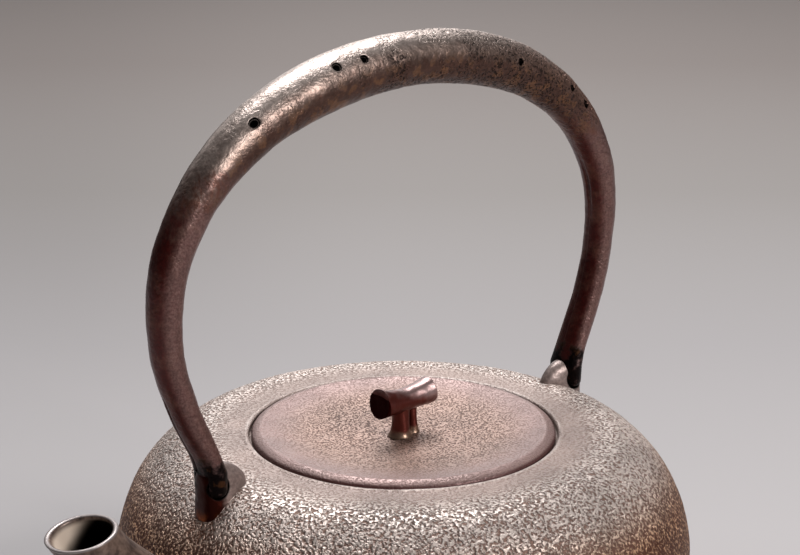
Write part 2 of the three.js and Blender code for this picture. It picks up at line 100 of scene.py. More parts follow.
class Value:
    """A number socket that sums can be written on."""

    def __init__(self, sheet: "Sheet", socket: Socket) -> None:
        """Wraps a socket of a sheet's tree."""
        self.sheet = sheet
        self.socket = socket

    __add__ = __radd__ = maths("ADD")
    __mul__ = __rmul__ = maths("MULTIPLY")
    __sub__ = maths("SUBTRACT")
    __rsub__ = maths("SUBTRACT", swapped=True)
    __truediv__ = maths("DIVIDE")
    __rtruediv__ = maths("DIVIDE", swapped=True)
    __pow__ = maths("POWER")
    least = maths("MINIMUM")
    most = maths("MAXIMUM")
    size = maths("ABSOLUTE")

    def step(self, low: float, high: float, start: float = 0.0, end: float = 1.0) -> "Value":
        """A soft step over the value.

        Args:
            low: where the step begins; above high, it falls instead of rising.
            high: where it ends.
            start: result before the step.
            end: result after it.

        Returns:
            The stepped value.
        """
        if low > high:
            low, high, start, end = high, low, end, start
        names = {"Value": self, "From Min": low, "From Max": high, "To Min": start, "To Max": end}
        node = self.sheet.node("ShaderNodeMapRange", {"interpolation_type": "SMOOTHSTEP"}, names)
        return Value(self.sheet, node.outputs["Result"])


class Sheet:
    """A node tree that nodes are added to, for a finish or for a relief."""

    def __init__(self, tree: bpy.types.NodeTree) -> None:
        """Takes a tree and empties it."""
        self.tree = tree
        tree.nodes.clear()

    def feed(self, target: Socket, given: Input) -> None:
        """Links a value to a socket, or sets the socket to a constant."""
        given = given.socket if isinstance(given, Value) else given
        if isinstance(given, Socket):
            self.tree.links.new(given, target)
        else:
            target.default_value = given

    def node(
        self, kind: str, settings: Optional[dict] = None, inputs: Optional[dict] = None
    ) -> bpy.types.Node:
        """Adds any node.

        Args:
            kind: the node's type name.
            settings: attributes that are set first; "stops" fills a colour ramp.
            inputs: values or links, by the socket's name or number.

        Returns:
            The new node.
        """
        made = self.tree.nodes.new(kind)
        for name, setting in (settings or {}).items():
            if name == "stops":
                self.fill_ramp(made.color_ramp, setting)
            else:
                setattr(made, name, setting)
        for name, given in (inputs or {}).items():
            self.feed(made.inputs[name], given)
        return made

    @staticmethod
    def fill_ramp(ramp: bpy.types.ColorRamp, stops: tuple[tuple[float, Colour], ...]) -> None:
        """Gives a colour ramp its stops."""
        while len(ramp.elements) < len(stops):
            ramp.elements.new(1.0)
        for element, (position, shade) in zip(ramp.elements, stops):
            element.position = position
            element.color = shade

    def vector(self, operation: str, first: Input, second: Input) -> bpy.types.Node:
        """Adds a Vector Math node of two inputs."""
        inputs = {0: first, "Scale" if operation == "SCALE" else 1: second}
        return self.node("ShaderNodeVectorMath", {"operation": operation}, inputs)

    def place(self) -> Socket:
        """Where a point lies on the object at rest, in millimetres."""
        raise NotImplementedError

    def attribute(self, name: str) -> Value:
        """A number that the mesh holds at its points."""
        raise NotImplementedError

    def scaled(self, vector: Socket, factors: tuple) -> Socket:
        """A vector with each axis multiplied by its own factor."""
        return self.vector("MULTIPLY", vector, factors).outputs[0]

    def axes(self, vector: Socket) -> tuple[Value, Value, Value]:
        """The three parts of a vector."""
        node = self.node("ShaderNodeSeparateXYZ", inputs={0: vector})
        return tuple(Value(self, part) for part in node.outputs)

    def distance(self, vector: Socket, point: Place) -> Value:
        """How far a place is from a fixed point."""
        return Value(self, self.vector("DISTANCE", vector, point).outputs["Value"])

    def from_axis(self, vector: Socket) -> Value:
        """How far a place is from the upright axis."""
        return self.distance(self.scaled(vector, (1, 1, 0)), (0, 0, 0))

    def noise(
        self, vector: Socket, cell: float, detail: float = 0.0, roughness: float = 0.5, warp: float = 0.0
    ) -> Value:
        """Cloudy noise of 0 to 1.

        Args:
            vector: the place, in millimetres.
            cell: size of its largest features, in millimetres.
            detail: finer layers added to it.
            roughness: how strong the finer layers are.
            warp: how far it is bent by itself.

        Returns:
            The noise.
        """
        inputs = {"Vector": vector, "Scale": 1 / cell, "Detail": detail, "Roughness": roughness}
        node = self.node("ShaderNodeTexNoise", inputs={**inputs, "Distortion": warp})
        return Value(self, node.outputs[0])


class FinishSheet(Sheet):
    """The node tree of a material, with its surface shader."""

    def __init__(self, name: str) -> None:
        """Makes the material and its surface."""
        self.material = bpy.data.materials.new(name)
        self.material.use_nodes = True
        super().__init__(self.material.node_tree)
        self.surface = self.node("ShaderNodeBsdfPrincipled")
        self.node("ShaderNodeOutputMaterial", inputs={"Surface": self.surface.outputs[0]})

    def place(self) -> Socket:
        """The object coordinate, in millimetres."""
        node = self.node("ShaderNodeTexCoord")
        return self.scaled(node.outputs["Object"], (1 / MM,) * 3)

    def attribute(self, name: str) -> Value:
        """A number that the mesh holds at its points."""
        return Value(self, self.node("ShaderNodeAttribute", {"attribute_name": name}).outputs["Fac"])

    def mixed(self, share: Input, first: Input, second: Input) -> Socket:
        """One colour laid over another by a share of 0 to 1."""
        return self.node("ShaderNodeMix", {"data_type": "RGBA"}, {0: share, 6: first, 7: second}).outputs[2]

    def shaded(self, base: Socket, factor: Value) -> Socket:
        """A colour made lighter or darker by a factor."""
        return self.vector("SCALE", base, factor).outputs[0]

    def bumped(self, *layers: tuple[Value, float]) -> Input:
        """A normal tilted by height maps.

        Args:
            layers: each map, 0 to 1, with what 1 stands for in millimetres.

        Returns:
            The normal's socket.
        """
        normal = None
        for height, depth in layers:
            inputs = {"Height": height, "Distance": depth * MM, "Strength": 1.0}
            below = {} if normal is None else {"Normal": normal}
            normal = self.node("ShaderNodeBump", inputs={**inputs, **below}).outputs[0]
        return normal

    def finish(self, **sockets: Input) -> bpy.types.Material:
        """Sets the surface's sockets, named with _ for a space, and gives the material."""
        for name, given in sockets.items():
            self.feed(self.surface.inputs[name.replace("_", " ")], given)
        return self.material


class ReliefSheet(Sheet):
    """A tree that moves a mesh's points along their normals."""

    def __init__(self, name: str) -> None:
        """Makes the tree with its geometry sockets."""
        tree = bpy.data.node_groups.new(name, "GeometryNodeTree")
        for end in ("INPUT", "OUTPUT"):
            tree.interface.new_socket("Geometry", in_out=end, socket_type="NodeSocketGeometry")
        super().__init__(tree)

    def place(self) -> Socket:
        """The point's position, in millimetres."""
        return self.scaled(self.node("GeometryNodeInputPosition").outputs[0], (1 / MM,) * 3)

    def attribute(self, name: str) -> Value:
        """A number that the mesh holds at its points."""
        node = self.node("GeometryNodeInputNamedAttribute", {"data_type": "FLOAT"}, {"Name": name})
        return Value(self, node.outputs["Attribute"])

    def raise_by(self, height: Value) -> bpy.types.NodeTree:
        """Ends the tree: each point moves out by a height in millimetres."""
        normal = self.node("GeometryNodeInputNormal").outputs[0]
        offset = self.vector("SCALE", normal, height * MM).outputs[0]
        start = self.node("NodeGroupInput").outputs[0]
        moved = self.node("GeometryNodeSetPosition", inputs={"Geometry": start, "Offset": offset})
        self.node("NodeGroupOutput", inputs={0: moved.outputs[0]})
        return self.tree


# Reliefs that both the mesh and the finish carry


def wide_bed(sheet: Sheet, place: Socket) -> Value:
    """Slow unevenness of a casting or forging, -0.5 to 0.5."""
    return sheet.noise(place, 22.0, 1.0) - 0.5


def body_grain(sheet: Sheet, place: Socket) -> Value:
    """Wormy skin of the kettle body: 1 on the raised iron and 0 in the pits."""
    flank = sheet.axes(place)[2].step(100.0, 80.0)
    return (sheet.noise(place, 0.9, 1.0, 0.4, 0.35) - (flank * 0.17 + 0.35)).step(-0.06, 0.26)


def body_grain_depth(sheet: Sheet, place: Socket) -> Value:
    """How strong the wormy skin is: faint round the lid and on the base, full on the flank."""
    height = sheet.axes(place)[2]
    ring = sheet.from_axis(place).step(51.0, 64.0, 0.22, 1.0)
    return ring.most(height.step(97.0, 93.0)) * height.step(0.5, 4.0)


def lid_grain(sheet: Sheet, place: Socket) -> Value:
    """Small short pits of the lid: 1 on its skin and 0 in a pit."""
    return sheet.noise(place, 0.62, 1.0, 0.45, 0.25).step(0.36, 0.52)


def lid_grain_depth(sheet: Sheet, place: Socket) -> Value:
    """How strong the lid's pits are: full in its middle and faint on its rim."""
    return sheet.from_axis(place).step(40.0, 24.0, 0.25, 1.0)


def forged_pits(sheet: Sheet, place: Socket) -> Value:
    """Rust pits of the handle: 0 on its skin and 1 in a pit."""
    along, _, height = sheet.axes(place)
    rearward = along.step(14.0, -40.0, 0.0, 0.14)
    patch = (sheet.noise(place, 12.0, 2.0, 0.6) + rearward).step(0.42, 0.6)
    crown = height.step(SHOULDER + 72, SHOULDER + 100) * along.step(34.0, 10.0, 0.15, 1.0)
    return sheet.noise(place, 0.75, 1.5, 0.5, 0.3).step(0.5, 0.62) * patch * (crown * 0.9 + 0.1)


def forged_wrinkles(sheet: Sheet, place: Socket) -> Value:
    """Fine wrinkles of the handle's skin, 0 to 1."""
    stretched = sheet.scaled(place, (0.7, 1.0, 0.85))
    return sheet.noise(stretched, 1.15, 3.0, 0.5, 0.15).step(0.3, 0.7)


# Meshes


def circle(count: int) -> np.ndarray:
    """Evenly spaced angles round a full turn."""
    return np.arange(count) * (2 * np.pi / count)


def unit(vectors: np.ndarray) -> np.ndarray:
    """Vectors drawn out or in to a length of 1."""
    return vectors / np.linalg.norm(vectors, axis=-1, keepdims=True)


def run_along(points: np.ndarray) -> np.ndarray:
    """How far each point of a line lies along it."""
    return np.concatenate([[0], np.cumsum(np.linalg.norm(np.diff(points, axis=0), axis=1))])


def in_plane(x: np.ndarray, z: np.ndarray) -> np.ndarray:
    """Points or directions in the handle's middle plane."""
    return np.stack([x, np.zeros(len(x)), z], axis=1)


def soft_step(low: float, high: float, values: np.ndarray) -> np.ndarray:
    """0 below low, 1 above high and a smooth rise between; low may lie above high."""
    share = np.clip((np.asarray(values, float) - low) / (high - low), 0, 1)
    return share * share * (3 - 2 * share)


@dataclass
class Shell:
    """Points and faces of a mesh being worked out, in millimetres."""

    points: np.ndarray
    faces: np.ndarray  # four corners a row; a triangle names its first corner again
    marks: dict[str, np.ndarray] = field(default_factory=dict)

    @staticmethod
    def woven(rings: np.ndarray, closed: bool, marks: Optional[dict] = None) -> "Shell":
        """Skins rings of points.

        Args:
            rings: points by ring, by place in the ring and by axis.
            closed: True joins the last ring to the first; False closes each end with a fan.
            marks: numbers for each point, in rows like the rings.

        Returns:
            The closed shell, with its faces pointing out.
        """
        count, around = rings.shape[:2]
        points = rings.reshape(-1, 3)
        ring = np.arange(count if closed else count - 1)[:, None] * around
        upper = (ring + around) % (count * around)
        spots = np.arange(around)
        nearby = (spots + 1) % around
        faces = np.stack([ring + spots, ring + nearby, upper + nearby, upper + spots], axis=-1).reshape(-1, 4)
        kept = {name: np.asarray(row, float).reshape(-1) for name, row in (marks or {}).items()}
        if not closed:
            top = (count - 1) * around
            first = np.stack([np.full(around, len(points)), nearby, spots], axis=-1)
            final = np.stack([np.full(around, len(points) + 1), top + spots, top + nearby], axis=-1)
            fans = np.concatenate([first, final])
            faces = np.concatenate([faces, np.concatenate([fans, fans[:, :1]], axis=1)])
            points = np.concatenate([points, [rings[0].mean(axis=0), rings[-1].mean(axis=0)]])
            kept = {name: np.append(row, [row[0], row[-1]]) for name, row in kept.items()}
        shell = Shell(points, faces, kept)
        if shell.volume() < 0:
            fan = shell.faces[:, 0] == shell.faces[:, 3]
            shell.faces[~fan] = shell.faces[~fan][:, ::-1]
            shell.faces[fan] = shell.faces[fan][:, [0, 2, 1, 0]]
        return shell

    @staticmethod
    def turned(
        profile: np.ndarray, around: int, marks: Optional[dict] = None, hole: bool = False
    ) -> "Shell":
        """Turns a profile of radius and height round the upright axis.

        Args:
            profile: radius and height of each point.
            around: how many steps go round.
            marks: numbers for each point of the profile.
            hole: True leaves a hole through the middle, with a wall from the last point to the first.

        Returns:
            The closed shell.
        """
        angle = circle(around)
        radius = profile[:, :1]
        height = np.repeat(profile[:, 1:], around, axis=1)
        rings = np.stack([radius * np.cos(angle), radius * np.sin(angle), height], axis=-1)
        rows = {name: np.repeat(row[:, None], around, axis=1) for name, row in (marks or {}).items()}
        return Shell.woven(rings, hole, rows)

    def volume(self) -> float:
        """Signed volume within the faces."""
        a, b, c, d = (self.points[self.faces[:, k]] for k in range(4))
        first = np.einsum("ij,ij->i", a, np.cross(b, c)).sum()
        return (first + np.einsum("ij,ij->i", a, np.cross(c, d)).sum()) / 6

    def made(self, name: str, materials: list[bpy.types.Material]) -> bpy.types.Object:
        """Turns the shell into an object.

        Args:
            name: the object's name.
            materials: its finishes; a point's "inside" mark picks the second one.

        Returns:
            The object, smooth shaded and in metres.
        """
        mesh = bpy.data.meshes.new(name)
        mesh.vertices.add(len(self.points))
        mesh.vertices.foreach_set("co", (self.points * MM).astype(np.float32).ravel())
        fan = self.faces[:, 0] == self.faces[:, 3]
        starts = np.concatenate([[0], np.cumsum(np.where(fan, 3, 4))[:-1]])
        corners = self.faces.ravel()[np.stack([np.ones_like(fan)] * 3 + [~fan], axis=-1).ravel()]
        mesh.loops.add(len(corners))
        mesh.loops.foreach_set("vertex_index", corners.astype(np.int32))
        mesh.polygons.add(len(self.faces))
        mesh.polygons.foreach_set("loop_start", starts.astype(np.int32))
        for material in materials:
            mesh.materials.append(material)
        if "inside" in self.marks and len(materials) > 1:
            inner = self.marks["inside"][self.faces].mean(axis=1) > 0.5
            mesh.polygons.foreach_set("material_index", inner.astype(np.int32))
        for mark, row in self.marks.items():
            kept = mesh.attributes.new(mark, "FLOAT", "POINT").data
            kept.foreach_set("value", row.astype(np.float32))
        mesh.update(calc_edges=True)
        mesh.shade_smooth()
        made = bpy.data.objects.new(name, mesh)
        bpy.context.scene.collection.objects.link(made)
        return made


def oval_rings(
    centres: np.ndarray,
    up: Union[np.ndarray, Place],
    half_across: Union[np.ndarray, float],
    half_up: Union[np.ndarray, float],
    around: int,
    across: Place = (0, 1, 0),
) -> np.ndarray:
    """Rings round a line of centres.

    Args:
        centres: middle of each ring.
        up: one axis of each ring, or of all of them.
        half_across: half of its size along the other axis.
        half_up: half of its size along up.
        around: how many points a ring has.
        across: the other axis.

    Returns:
        The points, by ring, by place in the ring and by axis.
    """
    angle = circle(around)[None, :, None]
    side = np.cos(angle) * np.asarray(across) * np.reshape(half_across, (-1, 1, 1))
    rise = np.sin(angle) * np.atleast_2d(up)[:, None, :] * np.reshape(half_up, (-1, 1, 1))
    return centres[:, None, :] + side + rise


def curve_through(stations: np.ndarray, count: int) -> np.ndarray:
    """A smooth line through rows of numbers whose first three are a place.

    Args:
        stations: the rows that it passes through.
        count: how many rows to give, evenly spaced.

    Returns:
        The rows.
    """
    gaps = np.linalg.norm(np.diff(stations[:, :3], axis=0), axis=1)
    along = run_along(stations[:, :3])
    slopes = np.diff(stations, axis=0) / gaps[:, None]
    before, after = gaps[:-1, None], gaps[1:, None]
    inner = (slopes[:-1] * after + slopes[1:] * before) / (before + after)
    tangents = np.concatenate([slopes[:1], inner, slopes[-1:]])
    wanted = np.linspace(0, along[-1], count)
    left = np.clip(np.searchsorted(along, wanted, side="right") - 1, 0, len(gaps) - 1)
    gap = gaps[left][:, None]
    t = ((wanted - along[left]) / gaps[left])[:, None]
    return (
        (2 * t**3 - 3 * t**2 + 1) * stations[left]
        + (t**3 - 2 * t**2 + t) * gap * tangents[left]
        + (3 * t**2 - 2 * t**3) * stations[left + 1]
        + (t**3 - t**2) * gap * tangents[left + 1]
    )


def evenly(profile: Union[np.ndarray, list], step: float) -> np.ndarray:
    """A profile cut into steps of about one length, with its corners kept."""
    corners = np.asarray(profile, float)
    rows = []
    for start, end in zip(corners[:-1], corners[1:]):
        count = max(1, int(round(float(np.linalg.norm(end - start)) / step)))
        rows.append(start + (end - start) * (np.arange(count) / count)[:, None])
    rows.append(corners[-1:])
    return np.concatenate(rows)


def thinned(line: np.ndarray, step: Callable[[float], float]) -> np.ndarray:
    """The points of a dense profile that lie about a step apart.

    Args:
        line: the profile.
        step: gives the step wanted at a height.

    Returns:
        The points kept.
    """
    kept = [line[0]]
    for point in line[1:-1]:
        if np.linalg.norm(point - kept[-1]) >= step(point[1]):
            kept.append(point)
    return np.array([*kept, line[-1]])


def settled(piece: bpy.types.Object) -> bpy.types.Object:
    """Applies a piece's modifiers to its mesh."""
    graph = bpy.context.evaluated_depsgraph_get()
    mesh = bpy.data.meshes.new_from_object(piece.evaluated_get(graph))
    old = piece.data
    piece.modifiers.clear()
    piece.data = mesh
    mesh.name = piece.name
    bpy.data.meshes.remove(old)
    return piece


def relieved(piece: bpy.types.Object, build: Callable[[ReliefSheet], Value]) -> bpy.types.Object:
    """Moves a piece's points by a relief.

    Args:
        piece: the piece.
        build: writes the relief's height in millimetres on a sheet.

    Returns:
        The piece.
    """
    sheet = ReliefSheet(piece.name + "_relief")
    modifier = piece.modifiers.new("relief", "NODES")
    modifier.node_group = sheet.raise_by(build(sheet))
    return settled(piece)


def cut(piece: bpy.types.Object, cutter: bpy.types.Object) -> bpy.types.Object:
    """Takes a cutter's space out of a piece, and the cutter away."""
    modifier = piece.modifiers.new("cut", "BOOLEAN")
    modifier.operation = "DIFFERENCE"
    modifier.solver = "EXACT"
    modifier.object = cutter
    settled(piece)
    bpy.data.objects.remove(cutter)
    return piece


def remeshed(piece: bpy.types.Object, voxel: float, passes: int) -> bpy.types.Object:
    """Fuses a piece's parts into one skin and eases its edges.

    Args:
        piece: the piece.
        voxel: size of the new faces, in millimetres.
        passes: how often the skin is smoothed.

    Returns:
        The piece.
    """
    fuse = piece.modifiers.new("fuse", "REMESH")
    fuse.mode = "VOXEL"
    fuse.voxel_size = voxel * MM
    fuse.use_smooth_shade = True
    ease = piece.modifiers.new("ease", "SMOOTH")
    ease.factor = 0.5
    ease.iterations = passes
    return settled(piece)


def placed(piece: bpy.types.Object, body: str, node: str) -> bpy.types.Object:
    """Makes a piece ride on its body and stand for a CAD node.

    Args:
        piece: the piece.
        body: the body that it moves with.
        node: the CAD node that it replaces.

    Returns:
        The piece.
    """
    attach(piece, body)
    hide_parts(node)
    log.info("%s: %d faces for %s", piece.name, len(piece.data.polygons), node)
    return piece


# Finishes


@dataclass(frozen=True)
class GrainedIron:
    """Lacquered cast iron of the body, with wormy grain and a worn, greyer ring round the lid."""

    raised: Colour = colour(232, 216, 208)
    # Flank colours: the iron's own warmer tone, made darker as painted shade where light falls off down the
    # sides.
    raised_flank: Colour = colour(220, 172, 132)
    pit: Colour = colour(142, 114, 102)
    pit_flank: Colour = colour(90, 50, 34)
    ring: Colour = colour(179, 160, 153)
    # Paler seat lip round the lid: partly wear, partly a painted highlight.
    lip: Colour = colour(214, 202, 196)
    rust: Colour = colour(112, 62, 26)
    rust_place: Place = (74.5, 0.0, 93.0)  # below the front lug
    lip_radius: float = 47.5

    def material(self) -> bpy.types.Material:
        """The material for the outside of the body."""
        sheet = FinishSheet("grained_iron")
        place = sheet.place()
        height = sheet.axes(place)[2]
        grain = body_grain(sheet, place)
        depth = body_grain_depth(sheet, place)
        # Down the sides the grain takes the darker flank colours: partly its own tone, partly painted shade.
        flank = height.step(SHOULDER - 4, SHOULDER - 20)
        fine = sheet.noise(place, 0.45, 2.0, 0.6)
        cloud = sheet.noise(place, 26.0, 2.0, 0.6)
        raised = sheet.mixed(flank, self.raised, self.raised_flank)
        pit = sheet.mixed(flank, self.pit, self.pit_flank)
        plain = sheet.mixed(fine.step(0.25, 0.75), sheet.mixed(0.4, self.ring, self.pit), self.ring)
        tone = sheet.mixed(depth.step(0.1, 0.9), plain, sheet.mixed(grain, pit, raised))
        # The seat lip is painted paler and glossier: partly wear, partly a painted highlight.
        lip = sheet.from_axis(place).step(self.lip_radius + 0.4, self.lip_radius - 0.4)
        lip = lip * height.step(SHOULDER - 0.6, SHOULDER - 0.1)
        tone = sheet.mixed(lip * cloud.step(0.4, 0.6, 0.0, 0.45), tone, self.lip)
        stain = sheet.distance(place, self.rust_place).step(8.0, 3.0) * fine.step(0.2, 0.6)
        tone = sheet.mixed(stain * 0.6, tone, self.rust)
        tone = sheet.shaded(tone, cloud.step(0.3, 0.7, 0.82, 1.12) * fine.step(0.1, 0.9, 0.86, 1.1))
        rough = grain.step(0.0, 1.0, 0.6, 0.38) + (cloud - 0.5) * 0.12 - lip * 0.1
        return sheet.finish(
            Base_Color=tone,
            Roughness=rough + depth.step(0.9, 0.2) * 0.14,
            Metallic=grain.step(0.0, 1.0, 0.65, 0.5) * depth + (1 - depth) * 0.3,
            IOR=1.6,
            Normal=sheet.bumped((grain * depth, 0.95), (fine, 0.09)),
        )


@dataclass
class Look:
    """What a plain iron looks like so far, for the wear, stains and painted light and shade of a special one.
    """

    fine: Value
    tone: Input
    rough: Value
    metal: Input


@dataclass(frozen=True)
class PlainIron:
    """Smooth cast iron with fine grain and slow clouds of a second shade."""

    name: str
    light: Colour
    dark: Colour
    rough: float = 0.45
    metal: float = 0.4
    grain_cell: float = 0.8
    grain_depth: float = 0.06
    streak: Place = (1.0, 1.0, 1.0)
    gloss: float = 1.7  # index of refraction

    def material(self) -> bpy.types.Material:
        """The material."""
        sheet = FinishSheet(self.name)
        place = sheet.place()
        fine = sheet.noise(sheet.scaled(place, self.streak), self.grain_cell, 3.0, 0.6)
        cloud = sheet.noise(place, 7.0, 3.0, 0.6)
        tone = sheet.mixed((fine * 0.5 + cloud * 0.5).step(0.35, 0.65), self.dark, self.light)
        rough = fine.step(0.2, 0.8, self.rough + 0.08, self.rough - 0.06)
        look = Look(fine, tone, rough, self.metal)
        self.age(sheet, place, look)
        bump = sheet.bumped((fine, self.grain_depth))
        return sheet.finish(
            Base_Color=look.tone, Roughness=look.rough, Metallic=look.metal, IOR=self.gloss, Normal=bump
        )

    def age(self, sheet: FinishSheet, place: Socket, look: Look) -> None:
        """Lays wear, stains and painted light and shade over the look; a plain iron has none."""


@dataclass(frozen=True)
class SpoutIron(PlainIron):
    """The spout's smoother casting, worn bright on the lip, with light and shade painted in the bore."""

    lip: Colour = colour(150, 140, 138)
    # Painted light on the bore's lit side near the mouth, then painted shade on its far side and further in.
    bore: Colour = colour(206, 188, 172)
    deep: Colour = colour(14, 10, 9)
    mouth_x: float = 114.3
    lit_way: tuple[float, float] = (0.738, 0.675)  # towards the bore's lit side, as x and minus y

    def age(self, sheet: FinishSheet, place: Socket, look: Look) -> None:
        """Brightens the lip and paints light and shade in the bore."""
        worn, inside = sheet.attribute("worn"), sheet.attribute("inside")
        x, y, _ = sheet.axes(place)
        lit = (x - self.mouth_x) * self.lit_way[0] - y * self.lit_way[1]
        # Painted light and shade in the bore: its lit side near the mouth keeps the pale colour, the far side
        # and the depths take the dark one.
        dark = inside.step(0.0, 0.1) * (lit - inside * 8.0).step(3.0, -4.0)
        tone = sheet.mixed(worn * look.fine.step(0.1, 0.5, 0.7, 1.0), look.tone, self.lip)
        tone = sheet.mixed(inside.step(0.0, 0.15), tone, self.bore)
        look.tone = sheet.mixed(dark.most(inside.step(0.5, 0.9)), tone, self.deep)
        look.rough = look.rough - worn * 0.1
        look.metal = dark.most(inside.step(0.0, 0.15, self.metal, 0.1))


@dataclass(frozen=True)
class LugIron(PlainIron):
    """Grey cast lugs: the front lug dark red round and under its eye and on its outer side, partly a stain
    and partly painted shade, and painted shade in both eyes.
    """

    # Dark red round the front eye and on the front lug's outer side: partly a stain, partly painted shade.
    stain: Colour = colour(44, 12, 6)
    rust: Colour = colour(150, 78, 30)
    # Painted shade inside both eyes.
    hole: Colour = colour(8, 6, 5)
    stain_and_shade_place: Place = (73.5, 0.0, SHOULDER - 2.0)
    front_eye: Place = (71.0, 0.0, SHOULDER + 1.9)
    rear_eye: Place = (-71.0, 0.0, SHOULDER - 0.1)

    def age(self, sheet: FinishSheet, place: Socket, look: Look) -> None:
        """Darkens the front lug, partly as a stain and partly as painted shade, and paints shade in both
        eyes.
        """
        along, _, height = sheet.axes(place)
        cloud = sheet.noise(place, 4.0, 3.0, 0.6)
        # The front lug's outer side and the iron round its eye darken: partly a stain, partly painted shade.
        near_eye = (sheet.distance(place, self.stain_and_shade_place) + cloud * 6.0).step(8.5, 5.5)
        red = near_eye.most((along + cloud * 3.0).step(69.5, 72.5))
        tone = sheet.mixed(red, look.tone, self.stain)
        orange = height.step(SHOULDER - 4, SHOULDER - 8) * along.step(60.0, 68.0)
        tone = sheet.mixed(orange * cloud.step(0.35, 0.6) * 0.6, tone, self.rust)
        flat = sheet.scaled(place, (1, 0, 1))
        front, rear = (sheet.distance(flat, eye) for eye in (self.front_eye, self.rear_eye))
        # Painted shade inside both eyes.
        hole = front.least(rear).step(3.9, 3.3)
        look.tone = sheet.mixed(hole, tone, self.hole)
        look.rough = look.rough + hole * 0.3
        look.metal = hole.most(red * 0.55 + self.metal)


@dataclass(frozen=True)
class ForgedIron:
    """The handle: maroon lacquer on its arms, greyer along their flanks (partly wear, partly a painted
    highlight), worn silvery and pitted on top with a painted highlight along the crest and painted shade
    under it on the +y side, near black low on the feet, and painted shade in its pores, seam, crack and open
    ends.
    """

    pores: tuple[tuple[float, float, float], ...]
    pore_arc: float = 0.135  # millimetres round the tube for each degree
    maroon: Colour = colour(72, 14, 8)
    brown: Colour = colour(100, 62, 50)
    # Grey along the arms' flanks and on the knob's back: partly wear, partly a painted highlight.
    wear_and_highlight: Colour = colour(132, 104, 98)
    worn: Colour = colour(142, 124, 116)
    tanned: Colour = colour(158, 118, 102)
    # Painted highlight along the crest of the crown, partly polish.
    polish_and_highlight: Colour = colour(214, 198, 190)
    # Painted shade under the crown, on the +y side only.
    under: Colour = colour(82, 57, 48)
    gold: Colour = colour(118, 82, 58)
    pit: Colour = colour(24, 15, 12)
    # Near black, low on the feet.
    foot_dark: Colour = colour(14, 6, 6)
    rust: Colour = colour(96, 62, 38)
    # Painted shade in the pores, the seam, the crack and the open ends.
    shade_black: Colour = colour(4, 3, 3)

    def recess_shade(self, sheet: FinishSheet) -> Value:
        """How much painted shade a point takes: 1 in the handle's pores, and most of the way in its seam, its
        crack and inside its open ends.
        """
        run, turn = sheet.attribute("run"), sheet.attribute("turn")
        dark = sheet.attribute("hollow")
        for along, about, radius in self.pores:
            gap = (((run - along) ** 2.0) + (((turn - about) * self.pore_arc) ** 2.0)) ** 0.5
            dark = dark.most(gap.step(radius + 0.35, radius))
        return dark

    def arm(self, sheet: FinishSheet, patch: Value, fine: Value) -> Socket:
        """Maroon lacquer with brown patches, greyer along both flanks of the arms, partly wear and partly a
        painted highlight.
        """
        turn = sheet.attribute("turn")
        # Both flanks of the arm turn greyer: partly wear, partly a painted highlight.
        flank = turn.size().least((turn - 180.0).size()).step(55.0, 20.0)
        tone = sheet.mixed(patch.step(0.4, 0.75) * 0.7, self.maroon, self.brown)
        return sheet.mixed(flank * fine.step(0.2, 0.8, 0.3, 0.7), tone, self.wear_and_highlight)

    def top(self, sheet: FinishSheet, place: Socket, patch: Value) -> tuple[Socket, Value]:
        """The bare iron of the arch.

        Args:
            sheet: the material's sheet.
            place: the place, in millimetres.
            patch: small clouds that break up its edges.

        Returns:
            Its colour, with a painted highlight along the crest and painted shade below it on the +y side,
            and how far it is the upper one, which the painted shade spares.
        """
        along, _, height = sheet.axes(place)
        turn = sheet.attribute("turn")
        # 0 on the lower part of the tube's +y side, which takes the under colour as painted shade.
        upper = (turn + (patch - 0.5) * 60.0).step(-12.0, 40.0)
        # The painted highlight along the top of the crown, partly polish.
        crest = (turn - 90.0 + (patch - 0.5) * 30.0).size().step(62.0, 32.0)
        crest = crest * (height + (patch - 0.5) * 20.0).step(SHOULDER + 88, SHOULDER + 108)
        tone = sheet.mixed(along.step(-20.0, -75.0) * 0.8, self.worn, self.tanned)
        tone = sheet.mixed(crest * along.step(-50.0, 0.0, 0.25, 0.7), tone, self.polish_and_highlight)
        return sheet.mixed(upper, self.under, tone), upper

    def material(self) -> bpy.types.Material:
        """The material."""
        sheet = FinishSheet("forged_iron")
        place = sheet.place()
        height = sheet.axes(place)[2]
        cloud, patch, fine = (sheet.noise(place, cell, 3.0, 0.6) for cell in (15.0, 4.0, 0.6))
        pits, wrinkles = forged_pits(sheet, place), forged_wrinkles(sheet, place)
        crown = height.step(SHOULDER + 62, SHOULDER + 106)
        worn = (crown * 1.3 + (cloud - 0.5) * 0.9 + (patch - 0.5) * 0.7).step(0.3, 1.1)
        top, upper = self.top(sheet, place, patch)
        tone = sheet.mixed(worn, self.arm(sheet, patch, fine), top)
        tone = sheet.mixed(worn * patch.step(0.5, 0.62) * (1 - upper * 0.95) * 0.8, tone, self.gold)
        stretched = sheet.scaled(place, (1.0, 1.0, 0.45))
        streaks = sheet.noise(stretched, 1.7, 3.0, 0.6, 0.8).step(0.45, 0.62)
        streaks = streaks * worn.step(0.0, 0.25) * worn.step(1.0, 0.45)
        tone = sheet.mixed(streaks * 0.8, tone, self.brown)
        tone = sheet.mixed(pits * 0.85, tone, self.pit)
        foot = height.step(SHOULDER + 19, SHOULDER + 4)
        # Near black low on the feet, by the lugs.
        dark_feet = (foot + (patch - 0.5) * 1.5).step(0.5, 0.9)
        tone = sheet.mixed(dark_feet, tone, self.foot_dark)
        tone = sheet.mixed(foot * patch.step(0.56, 0.66) * 0.5, tone, self.rust)
        tone = sheet.shaded(tone, fine.step(0.2, 0.8, 0.82, 1.12) * wrinkles.step(0, 1, 0.85, 1.08))
